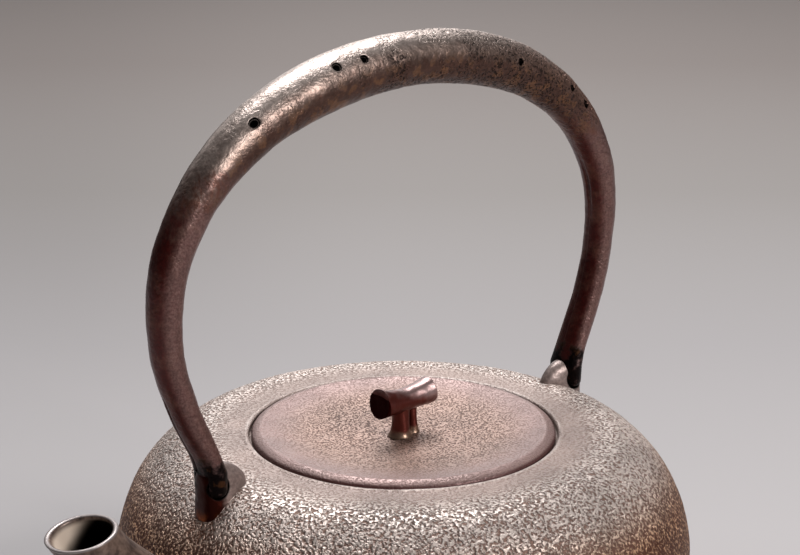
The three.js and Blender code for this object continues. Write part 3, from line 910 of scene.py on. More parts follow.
        # Painted shade in the pores, the seam, the crack and inside the open ends.
        recess_shade = self.recess_shade(sheet)
        rough = (worn * 0.06 + 0.33) + pits * 0.2 + (fine - 0.5) * 0.15 + foot * 0.12 + recess_shade * 0.4
        return sheet.finish(
            Base_Color=sheet.mixed(recess_shade, tone, self.shade_black),
            Roughness=rough,
            Metallic=recess_shade.most(worn * 0.3 + 0.55).most(dark_feet * 0.92),
            IOR=1.6,
            Normal=sheet.bumped((1 - pits, 0.24), (wrinkles, 0.045), (fine, 0.045)),
        )


@dataclass(frozen=True)
class LidIron:
    """The lid: reddish fine-grained iron, smoother and paler towards its rim, with painted shade on the rim's
    outer side and round the knob's foot.
    """

    skin: Colour = colour(178, 146, 132)
    rim: Colour = colour(160, 132, 127)
    pit: Colour = colour(70, 42, 36)
    # Painted shade on the rim's outer side, by the gap to the body.
    edge: Colour = colour(78, 32, 30)

    def material(self) -> bpy.types.Material:
        """The material."""
        sheet = FinishSheet("lid_iron")
        place = sheet.place()
        radius, height = sheet.from_axis(place), sheet.axes(place)[2]
        grain, depth = lid_grain(sheet, place), lid_grain_depth(sheet, place)
        fine = sheet.noise(place, 0.5, 2.0, 0.6)
        cloud = sheet.noise(place, 18.0, 2.0, 0.6)
        tone = sheet.mixed(radius.step(26.0, 42.0), self.skin, self.rim)
        tone = sheet.mixed((1 - grain) * depth * 0.75, tone, self.pit)
        # Painted shade down the rim's outer side, next to the gap.
        edge = radius.step(43.8, 45.0) * height.step(SHOULDER + 0.6, SHOULDER - 0.1)
        tone = sheet.mixed(edge * 0.9, tone, self.edge)
        # Painted shadow on the lid round the knob's foot.
        knob_shadow = sheet.distance(place, (0.0, 0.0, SHOULDER - 2)).step(9.0, 4.0)
        tone = sheet.mixed(knob_shadow * 0.45, tone, self.pit)
        return sheet.finish(
            Base_Color=sheet.shaded(
                tone, cloud.step(0.3, 0.7, 0.86, 1.08) * fine.step(0.1, 0.9, 0.9, 1.08)
            ),
            Roughness=grain.step(0.0, 1.0, 0.58, 0.4) + (cloud - 0.5) * 0.1,
            Metallic=0.4,
            IOR=1.7,
            Normal=sheet.bumped((grain * depth, 0.36), (fine, 0.07)),
        )


@dataclass(frozen=True)
class KnobIron:
    """The knob: dark red lacquer, paler on its back (partly wear, partly a painted highlight), with its flat
    cut face painted dark as shade.
    """

    lacquer: Colour = colour(92, 34, 26)
    # Paler top of the bar's back: partly wear, partly a painted highlight.
    wear_and_highlight: Colour = colour(154, 128, 126)
    # Painted shade on the flat cut face.
    face_shade: Colour = colour(44, 2, 2)
    foot: Colour = colour(126, 100, 84)
    face_lean: float = 0.158  # how far the cut face leans outwards for each millimetre of height
    face_x: float = -8.88  # where its plane would meet the base

    def material(self) -> bpy.types.Material:
        """The material."""
        sheet = FinishSheet("knob_iron")
        place = sheet.place()
        along, _, height = sheet.axes(place)
        fine = sheet.noise(place, 0.6, 3.0, 0.6)
        cloud = sheet.noise(place, 3.5, 2.0, 0.6)
        # Paler along the top and back of the bar: partly wear, partly a painted highlight.
        back = (height + cloud * 4.0 + along * -0.35).step(SHOULDER + 11.5, SHOULDER + 15.5)
        tone = sheet.mixed(back, self.lacquer, self.wear_and_highlight)
        # The flat cut face is painted dark as shade.
        face = (along - height * self.face_lean).step(self.face_x - 0.08, self.face_x + 0.08)
        tone = sheet.mixed(face, tone, self.face_shade)
        foot = (height - cloud * 2.0).step(SHOULDER - 0.2, SHOULDER - 1.6)
        tone = sheet.mixed(foot, tone, self.foot)
        return sheet.finish(
            Base_Color=sheet.shaded(tone, fine.step(0.2, 0.8, 0.88, 1.08)),
            Roughness=fine.step(0.2, 0.8, 0.38, 0.28) + face * 0.3,
            Metallic=face.most(0.7),
            IOR=1.7,
            Normal=sheet.bumped((fine, 0.04)),
        )


# Sub-assemblies


@dataclass
class KettleBody:
    """The cast pot: grained outside, flat shoulder, lid seat, hollow inside."""

    height: float = SHOULDER
    radius: float = 86.4
    belly_drop: float = 34.0
    flat_radius: float = 60.0
    base_radius: float = 50.0
    base_edge: float = 2.5
    wall: float = 3.6
    base_wall: float = 4.5
    mouth_radius: float = 41.3
    seat_radius: float = 46.0
    seat_depth: float = 2.4
    lip_width: float = 2.2
    lip_rise: float = 0.3
    collar_depth: float = 7.5
    collar_reach: float = 12.0
    axis_gap: float = 0.5  # the innermost ring's radius, inside the end fans
    around: int = 590

    def outline(self) -> np.ndarray:
        """The outside from the base edge to the flat shoulder, as radius and height."""
        belly = self.height - self.belly_drop
        low = np.linspace(np.pi / 2, 0, 90)
        flank_radius = self.base_radius + (self.radius - self.base_radius) * np.cos(low).clip(0) ** 0.65
        flank = np.stack([flank_radius, belly - (belly - self.base_edge) * np.sin(low)], axis=1)
        high = low[1:]
        top_radius = self.flat_radius + (self.radius - self.flat_radius) * np.sin(high).clip(0) ** 1.08
        shoulder = np.stack([top_radius, belly + self.belly_drop * np.cos(high).clip(0) ** 1.15], axis=1)
        return np.concatenate([[[self.base_radius - self.base_edge, 0.0]], flank, shoulder])

    def seat(self) -> tuple[np.ndarray, np.ndarray]:
        """The lip round the lid's seat, and the seat with the mouth below it."""
        top, seat, mouth = self.height, self.seat_radius, self.mouth_radius
        ledge, collar = top - self.seat_depth, top - self.collar_depth
        lip = [
            (self.flat_radius - 0.9, top),
            (seat + self.lip_width, top),
            (seat + 1.5, top + 0.25),
            (seat + 0.7, top + self.lip_rise),
            (seat + 0.15, top - 0.1),
            (seat, top - 0.6),
            (seat, ledge),
        ]
        step = [
            (seat - 0.3, ledge),
            (mouth + 0.3, ledge),
            (mouth, ledge - 0.3),
            (mouth, collar + 1.5),
            (mouth + 2, collar),
        ]
        return evenly(lip, 0.95), evenly(step, 1.5)

    def inner_wall(self, dense: np.ndarray) -> np.ndarray:
        """The inside of the wall, from the collar down to the floor."""
        run = unit(np.gradient(dense, axis=0))
        inner = dense + np.stack([-run[:, 1], run[:, 0]], axis=1) * self.wall
        below_collar = inner[:, 0] > self.seat_radius + self.collar_reach
        return thinned(inner[(inner[:, 1] > self.base_wall) & below_collar][::-1], lambda z: 4.5)

    def profile(self) -> tuple[np.ndarray, np.ndarray]:
        """The turned section, and a row that is 1 on its inner side."""
        dense = evenly(self.outline(), 0.2)
        outside = thinned(dense, lambda z: 0.82 if z > 42 else 1.7)
        lip, step = self.seat()
        base = [[self.axis_gap, 0.0], [20.0, 0.0], [40.0, 0.0]]
        floor = [[self.base_radius - self.wall, self.base_wall], [20.0, self.base_wall]]
        outer = np.concatenate([base, outside, lip])
        inner = np.concatenate([step, self.inner_wall(dense), floor, [[self.axis_gap, self.base_wall]]])
        skinned = len(outer) + 3  # the seat's first points still have the outside's finish
        return np.concatenate([outer, inner]), (np.arange(len(outer) + len(inner)) >= skinned).astype(float)

    def relief(self, sheet: ReliefSheet) -> Value:
        """How the grain and the uneven casting move the outside."""
        place = sheet.place()
        ripple = (sheet.noise(place, 2.4, 1.0) - 0.7) * body_grain_depth(sheet, place) * 0.3
        above_base = sheet.axes(place)[2].step(0.1, 3.0)
        outside = 1 - sheet.attribute("inside")
        return (ripple + (wide_bed(sheet, place) - 0.5) * 0.4) * outside * above_base

    def build(self) -> list[bpy.types.Object]:
        """Makes the body and dresses it."""
        profile, inside = self.profile()
        inner = PlainIron("inner_iron", colour(96, 84, 76), colour(66, 54, 48), 0.6)
        skins = [GrainedIron().material(), inner.material()]
        piece = Shell.turned(profile, self.around, {"inside": inside}).made("kettle_body_casting", skins)
        return [placed(relieved(piece, self.relief), "kettle", "kettle_body")]


@dataclass
class Spout:
    """The short upswept spout, let into the belly."""

    reach: float = 114.3
    mouth_rise: float = 0.85
    mouth_tilt: float = 10.0
    root_drop: float = 40.0
    root_radius: float = 17.0
    neck_radius: float = 9.0
    lip_radius: float = 9.85
    lip_round: float = 0.55
    wall: float = 2.6
    lip_wall: float = 1.5
    flare: float = 1.7  # how far the root spreads where it meets the body
    flare_fade: float = 1.8  # and how soon that fades
    hidden: float = -4.2  # rings deeper than this in the body are left out
    bore_shade: int = 30  # rings over which the bore grows dark
    around: int = 120
    steps: int = 130
    body: KettleBody = field(default_factory=KettleBody)
    finish: SpoutIron = SpoutIron(
        "spout_iron",
        colour(138, 116, 104),
        colour(58, 42, 38),
        rough=0.42,
        metal=0.5,
        grain_cell=1.1,
        grain_depth=0.08,
        streak=(0.45, 1, 0.4),
        gloss=1.6,
    )

    def spine(self) -> tuple[np.ndarray, np.ndarray, np.ndarray]:
        """Places, leans and shares of the way along the spout's middle line."""
        edge = self.body.radius
        start, low, high, end = (
            np.array([edge - 12, SHOULDER - self.root_drop - 4]),
            np.array([edge + 2, SHOULDER - self.root_drop + 6]),
            np.array([self.reach - 9, SHOULDER + self.mouth_rise - 15]),
            np.array([self.reach, SHOULDER + self.mouth_rise]),
        )
        t = np.linspace(0, 1, 400)[:, None]
        line = (1 - t) ** 3 * start + 3 * (1 - t) ** 2 * t * low + 3 * (1 - t) * t**2 * high + t**3 * end
        run = run_along(line)
        share = np.linspace(0, 1, self.steps)
        places = np.stack([np.interp(share * run[-1], run, line[:, k]) for k in range(2)], axis=1)
        heading = np.gradient(places, axis=0)
        lean = np.arctan2(heading[:, 0], heading[:, 1])
        blend = soft_step(0.55, 1.0, share)
        return places, lean * (1 - blend) + math.radians(self.mouth_tilt) * blend, share

    def rings(self, shrink: float, lip_shrink: float) -> np.ndarray:
        """Rings of the spout's outside, drawn in by a distance at the root and at the lip."""
        places, lean, share = self.spine()
        outside = self.neck_radius + (self.root_radius - self.neck_radius) * (1 - share) ** 1.7
        lip = share**9
        radius = outside + (self.lip_radius - self.neck_radius) * lip - shrink + (shrink - lip_shrink) * lip
        up = in_plane(-np.cos(lean), np.sin(lean))
        return oval_rings(in_plane(places[:, 0], places[:, 1]), up, radius, radius, self.around)

    def above_body(self, points: np.ndarray) -> np.ndarray:
        """How far points lie outside the body's skin."""
        outline = self.body.outline()[::3]
        spot = np.stack([np.hypot(points[:, 0], points[:, 1]), points[:, 2]], axis=1)
        gaps = np.linalg.norm(spot[:, None, :] - outline[None], axis=2)
        nearest = gaps.argmin(axis=1)
        outward = spot[:, 0] - outline[nearest, 0]
        return gaps[np.arange(len(spot)), nearest] * np.sign(outward + 1e-6)

    def lip(self, outer: np.ndarray, inner: np.ndarray) -> np.ndarray:
        """Rings of the round lip between the last two rings of the outside and the bore."""
        lift = unit((outer[-1] - outer[-2]).mean(axis=0))
        centre, half = (outer[-1] + inner[-1]) / 2, (outer[-1] - inner[-1]) / 2
        angles = np.linspace(0, np.pi, 9)[1:-1]
        return np.stack(
            [centre + half * math.cos(a) + lift * self.lip_round * (math.sin(a) - 1) for a in angles]
        )

    def build(self) -> list[bpy.types.Object]:
        """Makes the spout and dresses it."""
        outer, inner = self.rings(0, 0), self.rings(self.wall, self.lip_wall)
        clear = self.above_body(outer.reshape(-1, 3)).reshape(outer.shape[:2])
        flare = self.flare * np.exp(-np.clip(clear, 0, None) / self.flare_fade) * (clear > -6)
        outer = outer + unit(outer - outer.mean(axis=1, keepdims=True)) * flare[:, :, None]
        keep = clear.max(axis=1) > self.hidden
        outer, inner = outer[keep], inner[keep]
        lip = self.lip(outer, inner)
        rings = np.concatenate([outer[:-1], lip, inner[:-1][::-1]])
        lip_start, bore_start = len(outer) - 1, len(outer) - 1 + len(lip)
        worn, inside = np.zeros(rings.shape[:2]), np.zeros(rings.shape[:2])
        worn[lip_start - 1 : bore_start - 1] = 1
        depth = np.arange(len(rings) - bore_start)[:, None] / self.bore_shade
        inside[bore_start:] = np.clip(depth, 0, 1)
        shell = Shell.woven(rings, True, {"worn": worn, "inside": inside})
        piece = shell.made("spout_casting", [self.finish.material()])
        relieved(piece, lambda sheet: wide_bed(sheet, sheet.place()) * 0.3 - 0.06)
        return [placed(piece, "kettle", "spout")]


@dataclass
class Lug:
    """A pierced, mountain-shaped lug that carries one foot of the handle."""

    side: Side
    offset: float = 71.0
    rise: float = 6.9
    depth: float = 12.0
    inner_reach: float = 11.9
    outer_reach: float = 3.9
    half_width: float = 4.4
    inner_round: float = 1.1  # exponents of the plan, towards the lid and away from it
    outer_round: float = 0.72
    eye_radius: float = 3.1
    eye_rise: float = 0.9
    lean: float = 1.0
    front_sway: float = -1.0
    around: int = 64
    finish: LugIron = LugIron(
        "lug_iron", colour(150, 132, 127), colour(112, 96, 91), rough=0.38, metal=0.4, gloss=1.5
    )

    @property
    def raised(self) -> float:
        """How much higher this lug's eye stands than the mean of both."""
        return self.side.value * self.lean

    @property
    def sway(self) -> float:
        """How far this lug stands off the kettle's middle plane."""
        return self.front_sway if self.side is Side.FRONT else 0.0

    def sections(self) -> np.ndarray:
        """Height over the shoulder, then shares of the inner reach, outer reach and width."""
        return np.array(
            [
                (-self.depth, 1.1, 1.02, 1.14),
                (-5.0, 1.06, 1.01, 1.08),
                (0.0, 1.0, 1.0, 1.0),
                (0.3 * self.rise, 0.92, 1.0, 0.97),
                (0.57 * self.rise, 0.77, 0.97, 0.88),
                (0.82 * self.rise, 0.56, 0.87, 0.71),
                (0.95 * self.rise, 0.38, 0.64, 0.45),
                (self.rise, 0.22, 0.3, 0.2),
            ]
        )

    def rings(self) -> np.ndarray:
        """Rings of the mountain, from its root up."""
        rows = self.sections()
        heights = np.concatenate([np.linspace(-self.depth, 0, 24)[:-1], np.linspace(0, self.rise, 24)])
        inner, outer, width = (np.interp(heights, rows[:, 0], rows[:, k])[:, None] for k in (1, 2, 3))
        along, aside = np.cos(circle(self.around)), np.sin(circle(self.around))
        inward = along < 0
        power = np.where(inward, self.inner_round, self.outer_round)
        reach = np.where(inward, -self.inner_reach * inner, self.outer_reach * outer)
        x = self.offset + reach * np.abs(along) ** power
        y = np.sign(aside) * np.abs(aside) ** power * self.half_width * width
        z = np.repeat((SHOULDER + heights)[:, None], self.around, axis=1)
        return np.stack([x * self.side.value, y + self.sway, z + self.raised], axis=-1)

    def eye(self) -> Shell:
        """A rod through the eye, to pierce it with."""
        x, z = self.side.value * self.offset, SHOULDER + self.eye_rise + self.raised
        ends = np.array([[x, -12.0, z], [x, 12.0, z]])
        radius = self.eye_radius
        return Shell.woven(oval_rings(ends, (0, 0, 1), radius, radius, 40, across=(1, 0, 0)), False)

    def build(self) -> list[bpy.types.Object]:
        """Makes the lug, pierces it and dresses it."""
        node = f"{self.side.name.lower()}_lug"
        piece = Shell.woven(self.rings(), False).made(f"{node}_casting", [self.finish.material()])
        cut(piece, self.eye().made("eye_cutter", []))
        remeshed(piece, 0.28, 40)
        relieved(piece, lambda sheet: sheet.noise(sheet.place(), 3.5, 1.0) * 0.3 - 0.2)
        return [placed(piece, "kettle", node)]


@dataclass
class Handle:
    """The forged, hollow arched handle with its open, hooked feet."""

    rise: float = 111.4
    spread: float = 84.5
    wall: float = 1.6
    lug: Lug = field(default_factory=lambda: Lug(Side.FRONT))
    foot_rise: float = 5.0
    foot_width: float = 12.0
    foot_depth: float = 7.4
    prong_drop: float = 4.6
    prong_curl: float = 1.8
    prong_tip: float = 1.3
    prong_taper: float = 0.35
    mouth_lip: float = 0.35  # how far the foot's mouth runs on between the prongs
    seam_depth: float = 0.55
    crack_depth: float = 0.9
    pore_depth: float = 1.6
    crown_radius: float = 7.7  # of the tube where the pores are
    around: int = 96
    steps: int = 690
    pore_spots: tuple[tuple[float, float, float, float], ...] = (
        # x and z of its skin, angle over the side, and radius
        (58.1, 205.2, 43, 1.15),
        (29.6, 216.0, 45, 1.0),
        (20.1, 217.2, 39, 0.85),
        (-40.4, 208.6, 12, 0.8),
        (-63.8, 197.3, 22, 0.85),
        (-70.5, 191.4, 21, 1.0),
    )

    def stations(self) -> np.ndarray:
        """Rows of place, width and depth from the rear foot over the top to the front foot."""
        foot = self.lug.offset
        half = [
            (0, self.rise, 16.4, 16.4),
            (0.204 * self.spread, 0.99 * self.rise, 16.7, 16.7),
            (0.426 * self.spread, 0.955 * self.rise, 16.3, 16.3),
            (0.656 * self.spread, 0.883 * self.rise, 14.9, 14.8),
            (0.858 * self.spread, 0.76 * self.rise, 13.1, 12.9),
            (0.986 * self.spread, 0.59 * self.rise, 11.7, 11.3),
            (self.spread, 0.382 * self.rise, 10.6, 9.7),
            (foot + 8.9, self.foot_rise + 21, 10.6, 9.0),
            (foot + 4.3, self.foot_rise + 10.5, 10.4, 7.9),
            (foot + 1.8, self.foot_rise + 5, 10.8, 7.4),
            (foot, self.foot_rise, self.foot_width, self.foot_depth),
        ]
        rows = []
        for side in (Side.REAR, Side.FRONT):
            part = []
            for x, z, width, depth in half:
                near = 1 - float(soft_step(self.foot_rise + 10, 0.6 * self.rise, np.array(z)))
                sway = self.lug.front_sway * near if side is Side.FRONT else 0.0
                height = SHOULDER + z + side.value * self.lug.lean * near
                part.append((side.value * x, sway, height, width, depth))
            rows += part[:0:-1] if side is Side.REAR else part
        return np.array(rows, float)

    def tube(self) -> tuple[np.ndarray, np.ndarray, np.ndarray, np.ndarray]:
        """Centres, outward directions and half sizes along the handle."""
        line = curve_through(self.stations(), self.steps)
        heading = unit(np.gradient(line[:, :3], axis=0))
        share = np.linspace(-1, 1, self.steps)
        flat = soft_step(0.86, 1.0, np.abs(share))[:, None]
        square = in_plane(-heading[:, 2], heading[:, 0])
        level = in_plane(np.sign(share), np.zeros(self.steps))
        return line[:, :3], unit(square * (1 - flat) + level * flat), line[:, 3] / 2, line[:, 4] / 2

    def turns(self) -> np.ndarray:
        """Angle over the side of each place round the tube, from -90 to 270 degrees."""
        return (np.degrees(circle(self.around)) + 90) % 360 - 90

    def pores(self) -> tuple[tuple[float, float, float], ...]:
        """Distance along the tube, angle over the side and radius of each pore."""
        centres, outward, _, half_depth = self.tube()
        run = run_along(centres)
        found = []
        for x, z, about, radius in self.pore_spots:
            skin = centres + outward * (half_depth * math.sin(math.radians(about)))[:, None]
            nearest = np.hypot(skin[:, 0] - x, skin[:, 2] - z).argmin()
            found.append((float(run[nearest]), about, radius))
        return tuple(found)

    def reliefs(self, run: np.ndarray, height: np.ndarray) -> tuple[np.ndarray, np.ndarray]:
        """What is sunk in the tube's skin: a seam underneath, a crack by a foot, and the pores.

        Args:
            run: distance along the tube of each ring, as a column.
            height: height of each ring over the shoulder, as a column.

        Returns:
            How deep each point is sunk, and how much painted shade it takes.
        """
        turn = self.turns()[None]
        side = np.abs(2 * run / run[-1] - 1)
        seam = np.exp(-(((turn + 90) / 6.0) ** 2)) + np.exp(-(((turn - 270) / 6.0) ** 2))
        seam = seam * soft_step(0.5, 0.66, side) * soft_step(44, 66, height)
        crack = np.exp(-(((turn - 106) / 8.0) ** 2)) * soft_step(34, 26, height) * (run > run[-1] / 2)
        depth = self.seam_depth * seam + self.crack_depth * crack
        for along, about, radius in self.pores():
            gap = np.hypot(run - along, np.radians(turn - about) * self.crown_radius)
            depth = depth + self.pore_depth * soft_step(radius * 1.3, radius * 0.5, gap)
        # The seam and the crack take painted shade.
        return depth, np.maximum(0.8 * crack, 0.75 * seam**2)

    def prongs(self, outer: np.ndarray, inner: np.ndarray) -> tuple[np.ndarray, np.ndarray]:
        """Carries a foot's wall on below its mouth as two hooks.

        Args:
            outer: outside ring at the mouth.
            inner: inside ring at the mouth.

        Returns:
            The rings of the outside and of the inside below the mouth.
        """
        aside, ahead = np.cos(circle(self.around)), np.sin(circle(self.around))
        face = np.sign(aside + 1e-9)
        reach = soft_step(60.0, 50.0, np.degrees(np.arcsin(np.clip(np.abs(ahead), 0, 1))))
        curl, quarter = self.prong_curl, self.prong_curl * np.pi / 2
        full = self.prong_drop + quarter + self.prong_tip
        length = self.mouth_lip + (full - self.mouth_lip) * reach + 0.5 * np.clip(-ahead, 0, 1) * (1 - reach)
        middle, half = (outer + inner) / 2, (outer - inner) / 2
        outside, inside = [], []
        for share in np.linspace(0, 1, 34)[1:]:
            run = length * share
            bend = np.clip((run - self.prong_drop) / curl, 0, np.pi / 2)
            down = np.minimum(run, self.prong_drop) + curl * np.sin(bend)
            inward = curl * (1 - np.cos(bend)) + np.clip(run - self.prong_drop - quarter, 0, None)
            centre = middle + np.stack([np.zeros(self.around), -face * inward, -down], axis=1)
            side, rise = half[:, 1] * np.cos(bend), half[:, 2] - np.abs(half[:, 1]) * np.sin(bend)
            thin = 1 - self.prong_taper * np.clip(run / full, 0, 1)
            wall = np.stack([half[:, 0], side, rise], axis=1) * thin[:, None]
            outside.append(centre + wall)
            inside.append(centre - wall)
        return np.array(outside), np.array(inside)

    def bore_rows(self) -> np.ndarray:
        """Which rings the bore keeps: many in the feet and few where nothing shows it."""
        ends, steps = 60, self.steps
        parts = (0, ends, 4), (ends, steps - ends, 18), (steps - ends, steps, 4), (steps - 1, steps, 1)
        return np.unique(np.concatenate([np.arange(*part) for part in parts]))

    def build(self) -> list[bpy.types.Object]:
        """Makes the handle and dresses it."""
        centres, outward, half_width, half_depth = self.tube()
        wall = self.wall
        outer = oval_rings(centres, outward, half_width, half_depth, self.around)
        inner = oval_rings(centres, outward, half_width - wall, half_depth - wall, self.around)
        rear, front = (self.prongs(outer[end], inner[end]) for end in (0, -1))
        run = run_along(centres)
        depth, dark = self.reliefs(run[:, None], centres[:, 2:] - SHOULDER)
        outer = outer - unit(outer - centres[:, None, :]) * depth[:, :, None]
        bore = self.bore_rows()[::-1]
        parts = [rear[0][::-1], outer, front[0], front[1][::-1], inner[bore], rear[1]]
        rings = np.concatenate(parts)
        start, foot_rings = len(rear[0]), len(front[0])
        # The hollow mark holds painted shade: in the seam and the crack, and inside the open ends.
        hollow = np.zeros(rings.shape[:2])
        hollow[start : start + self.steps] = dark
        hollow[start + self.steps + foot_rings : len(rings) - len(rear[1])] = 0.7
        rear_end, front_end = np.zeros(start), np.full(2 * foot_rings, run[-1])
        runs = np.concatenate([rear_end, run, front_end, run[bore], rear_end])
        marks = {
            "hollow": hollow,
            "run": np.repeat(runs[:, None], self.around, axis=1),
            "turn": np.tile(self.turns(), (len(runs), 1)),
        }
        finish = ForgedIron(self.pores()).material()
        piece = Shell.woven(rings, True, marks).made("handle_forging", [finish])
        return [placed(relieved(piece, self.relief), "kettle", "handle")]

    def relief(self, sheet: ReliefSheet) -> Value:
        """Hammered unevenness and rust pits."""
        place = sheet.place()
        dents = (sheet.noise(place, 11.0, 2.0) - 0.5) * 0.8
        skin = (forged_wrinkles(sheet, place) - 1) * 0.035 - forged_pits(sheet, place) * 0.12
        above_feet = sheet.axes(place)[2].step(SHOULDER + 12, SHOULDER + 30)
        return (dents - 0.42 + skin) * above_feet


@dataclass
class Lid:
    """The dished lid with its flange."""

    seat_radius: float = 46.0
    gap: float = 0.6
    plate: float = 3.2
    rim_rise: float = 1.4
    dish: float = 3.4
    seat_depth: float = 2.4
    seam: float = 0.3
    mouth_radius: float = 41.3
    flange_depth: float = 9.0
    flange_wall: float = 2.3
    hole_radius: float = 1.6
    around: int = 520

    def top_at(self, radius: np.ndarray) -> np.ndarray:
        """Height of the lid's upper face at a radius."""
        share = np.clip(radius / (self.seat_radius - self.gap - 2), 0, 1)
        return SHOULDER + self.rim_rise - self.dish + self.dish * share**2.4

    def upper(self) -> np.ndarray:
        """The section of the upper face and the eased rim."""
        radius, top = self.seat_radius - self.gap, SHOULDER + self.rim_rise
        seat = SHOULDER - self.seat_depth + self.seam
        across = np.arange(self.hole_radius, radius - 3.5, 0.56)
        rim = [
            (radius - 3.1, top),
            (radius - 2.4, top - 0.16),
            (radius - 1.6, top - 0.45),
            (radius - 0.9, top - 0.8),
            (radius - 0.35, top - 1.2),
            (radius - 0.08, top - 1.6),
            (radius, top - 2.1),
            (radius, seat + 0.3),
            (radius - 0.3, seat),
        ]
        return np.concatenate([np.stack([across, self.top_at(across)], axis=1), evenly(rim, 0.6)])

    def lower(self) -> np.ndarray:
        """The section of the flange and the underside."""
        outer, seat = self.mouth_radius - self.gap, SHOULDER - self.seat_depth + self.seam
        inner, foot = outer - self.flange_wall, seat - self.flange_depth
        flange = [
            (outer + 0.2, seat),
            (outer, seat - 0.3),
            (outer, foot + 0.8),
            (outer - 0.6, foot),
            (inner + 0.3, foot),
            (inner, foot + 0.4),
            (inner, float(self.top_at(np.array(outer))) - self.plate - 1.4),
        ]
        across = np.linspace(inner - 1.2, self.hole_radius, 12)
        return np.concatenate([flange, np.stack([across, self.top_at(across) - self.plate], axis=1)])

    def build(self) -> list[bpy.types.Object]:
        """Makes the lid and dresses it."""
        upper, lower = self.upper(), self.lower()
        inside = np.concatenate([np.zeros(len(upper)), np.ones(len(lower))])
        profile = np.concatenate([upper, lower])
        shell = Shell.turned(profile, self.around, {"inside": inside}, hole=True)
        under = PlainIron("lid_under_iron", colour(92, 76, 68), colour(62, 48, 42), 0.58)
        piece = shell.made("lid_casting", [LidIron().material(), under.material()])
        return [placed(relieved(piece, self.relief), "lid", "lid")]

    def relief(self, sheet: ReliefSheet) -> Value:
        """How the small pits and the uneven casting move the upper face."""
        place = sheet.place()
        pits = (lid_grain(sheet, place) - 1) * lid_grain_depth(sheet, place) * 0.1
        bed = (sheet.noise(place, 14.0, 1.0) - 0.6) * 0.25
        return (pits + bed) * (1 - sheet.attribute("inside"))


@dataclass(frozen=True)
class Leg:
    """One leg of the knob: where it stands and meets the bar, and its radii there."""

    foot_x: float
    top_x: float
    foot_radius: float
    top_radius: float
    flare: float  # how much wider its foot spreads, as a share


@dataclass
class Knob:
    """The lid's knob, a short length of branch on two legs, with its rivet under the lid."""

    front_reach: float = 9.6
    rear_reach: float = 10.4
    front_radius: float = 4.6
    waist_radius: float = 3.5
    rear_radius: float = 4.2
    end_rise: float = 0.9  # how far the bar's ends curve up
    end_lean: float = 9.0  # degrees that its end faces lean outwards
    height: float = 11.2
    tenon_radius: float = 1.6
    legs: tuple[Leg, ...] = (Leg(1.3, 1.1, 2.7, 2.7, 0.5), Leg(-3.9, -3.2, 1.35, 1.6, 0.7))
    lid: Lid = field(default_factory=Lid)

    @property
    def base(self) -> float:
        """Height of the lid's dish under the knob."""
        return SHOULDER + self.lid.rim_rise - self.lid.dish

    def bar(self) -> Shell:
        """The bar, flared at both ends."""
        u = np.linspace(-1, 1, 60)
        reach = np.where(u > 0, self.front_reach, self.rear_reach)
        end = np.where(u > 0, self.front_radius, self.rear_radius)
        radius = self.waist_radius + (end - self.waist_radius) * np.abs(u) ** 1.9
        centres = in_plane(u * reach, self.base + self.height + self.end_rise * u * u)
        lean = np.radians(self.end_lean) * u
        up = in_plane(-np.sin(lean), np.cos(lean))
        return Shell.woven(oval_rings(centres, up, radius, radius, 56), False)

    def upright(self, leg: Leg) -> Shell:
        """One leg, spread where it meets the lid."""
        share = np.linspace(0, 1, 40)
        radius = leg.foot_radius + (leg.top_radius - leg.foot_radius) * share
        radius = radius * (1 + leg.flare * (1 - share) ** 9)
        x = leg.foot_x + (leg.top_x - leg.foot_x) * share
        centres = in_plane(x, self.base + 0.05 + share * (self.height - 1))
        return Shell.woven(oval_rings(centres, (1, 0, 0), radius, radius, 40), False)

    def tenon(self) -> Shell:
        """The tenon through the lid with its rivet head below."""
        under, top = self.base - self.lid.plate - 2.1, self.base + 2
        rows = [
            (0.2, under - 1.4),
            (1.6, under - 1.35),
            (2.7, under - 0.8),
            (3.3, under),
            (self.tenon_radius, under),
            (self.tenon_radius, top),
            (0.2, top),
        ]
        return Shell.turned(evenly(rows, 0.4), 40)

    def build(self) -> list[bpy.types.Object]:
        """Makes the knob and dresses it."""
        shells = [self.bar(), *map(self.upright, self.legs), self.tenon()]
        starts = np.cumsum([0] + [len(shell.points) for shell in shells[:-1]])
        faces = np.concatenate([shell.faces + start for shell, start in zip(shells, starts)])
        whole = Shell(np.concatenate([shell.points for shell in shells]), faces)
        piece = whole.made("lid_knob_casting", [KnobIron().material()])
        remeshed(piece, 0.2, 5)
        relieved(piece, lambda sheet: sheet.noise(sheet.place(), 4.0, 1.0) * 0.5 - 0.3)
        return [placed(piece, "lid", "lid_knob")]


@dataclass
class Washer:
    """The washer under the lid, kept as it comes from the CAD frame."""

    node: str = "knob_washer"

    def build(self) -> list[bpy.types.Object]:
        """Gives the CAD piece its finish."""
        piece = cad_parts[self.node]
        finish = PlainIron("washer_iron", colour(86, 74, 68), colour(56, 46, 42), 0.5, 0.5)
        piece.data.materials.clear()
        piece.data.materials.append(finish.material())
        return [piece]


# Studio


@dataclass(frozen=True)
class Lamp:
    """A soft square lamp that faces the kettle; sizes in metres and power in watts."""

    name: str
    place: Place
    size: float
    power: float
    aim: Place = (0, 0, 0.1)
    tint: tuple[float, float, float] = (1, 1, 1)

    def build(self) -> None:
        """Hangs the lamp."""
        data = bpy.data.lights.new(self.name, "AREA")
        data.shape = "SQUARE"
        data.size = self.size
        data.energy = self.power
        data.color = self.tint
        made = bpy.data.objects.new(self.name, data)
        made.location = self.place
        facing = Vector(self.aim) - Vector(self.place)
        made.rotation_euler = facing.to_track_quat("-Z", "Y").to_euler()
        bpy.context.scene.collection.objects.link(made)


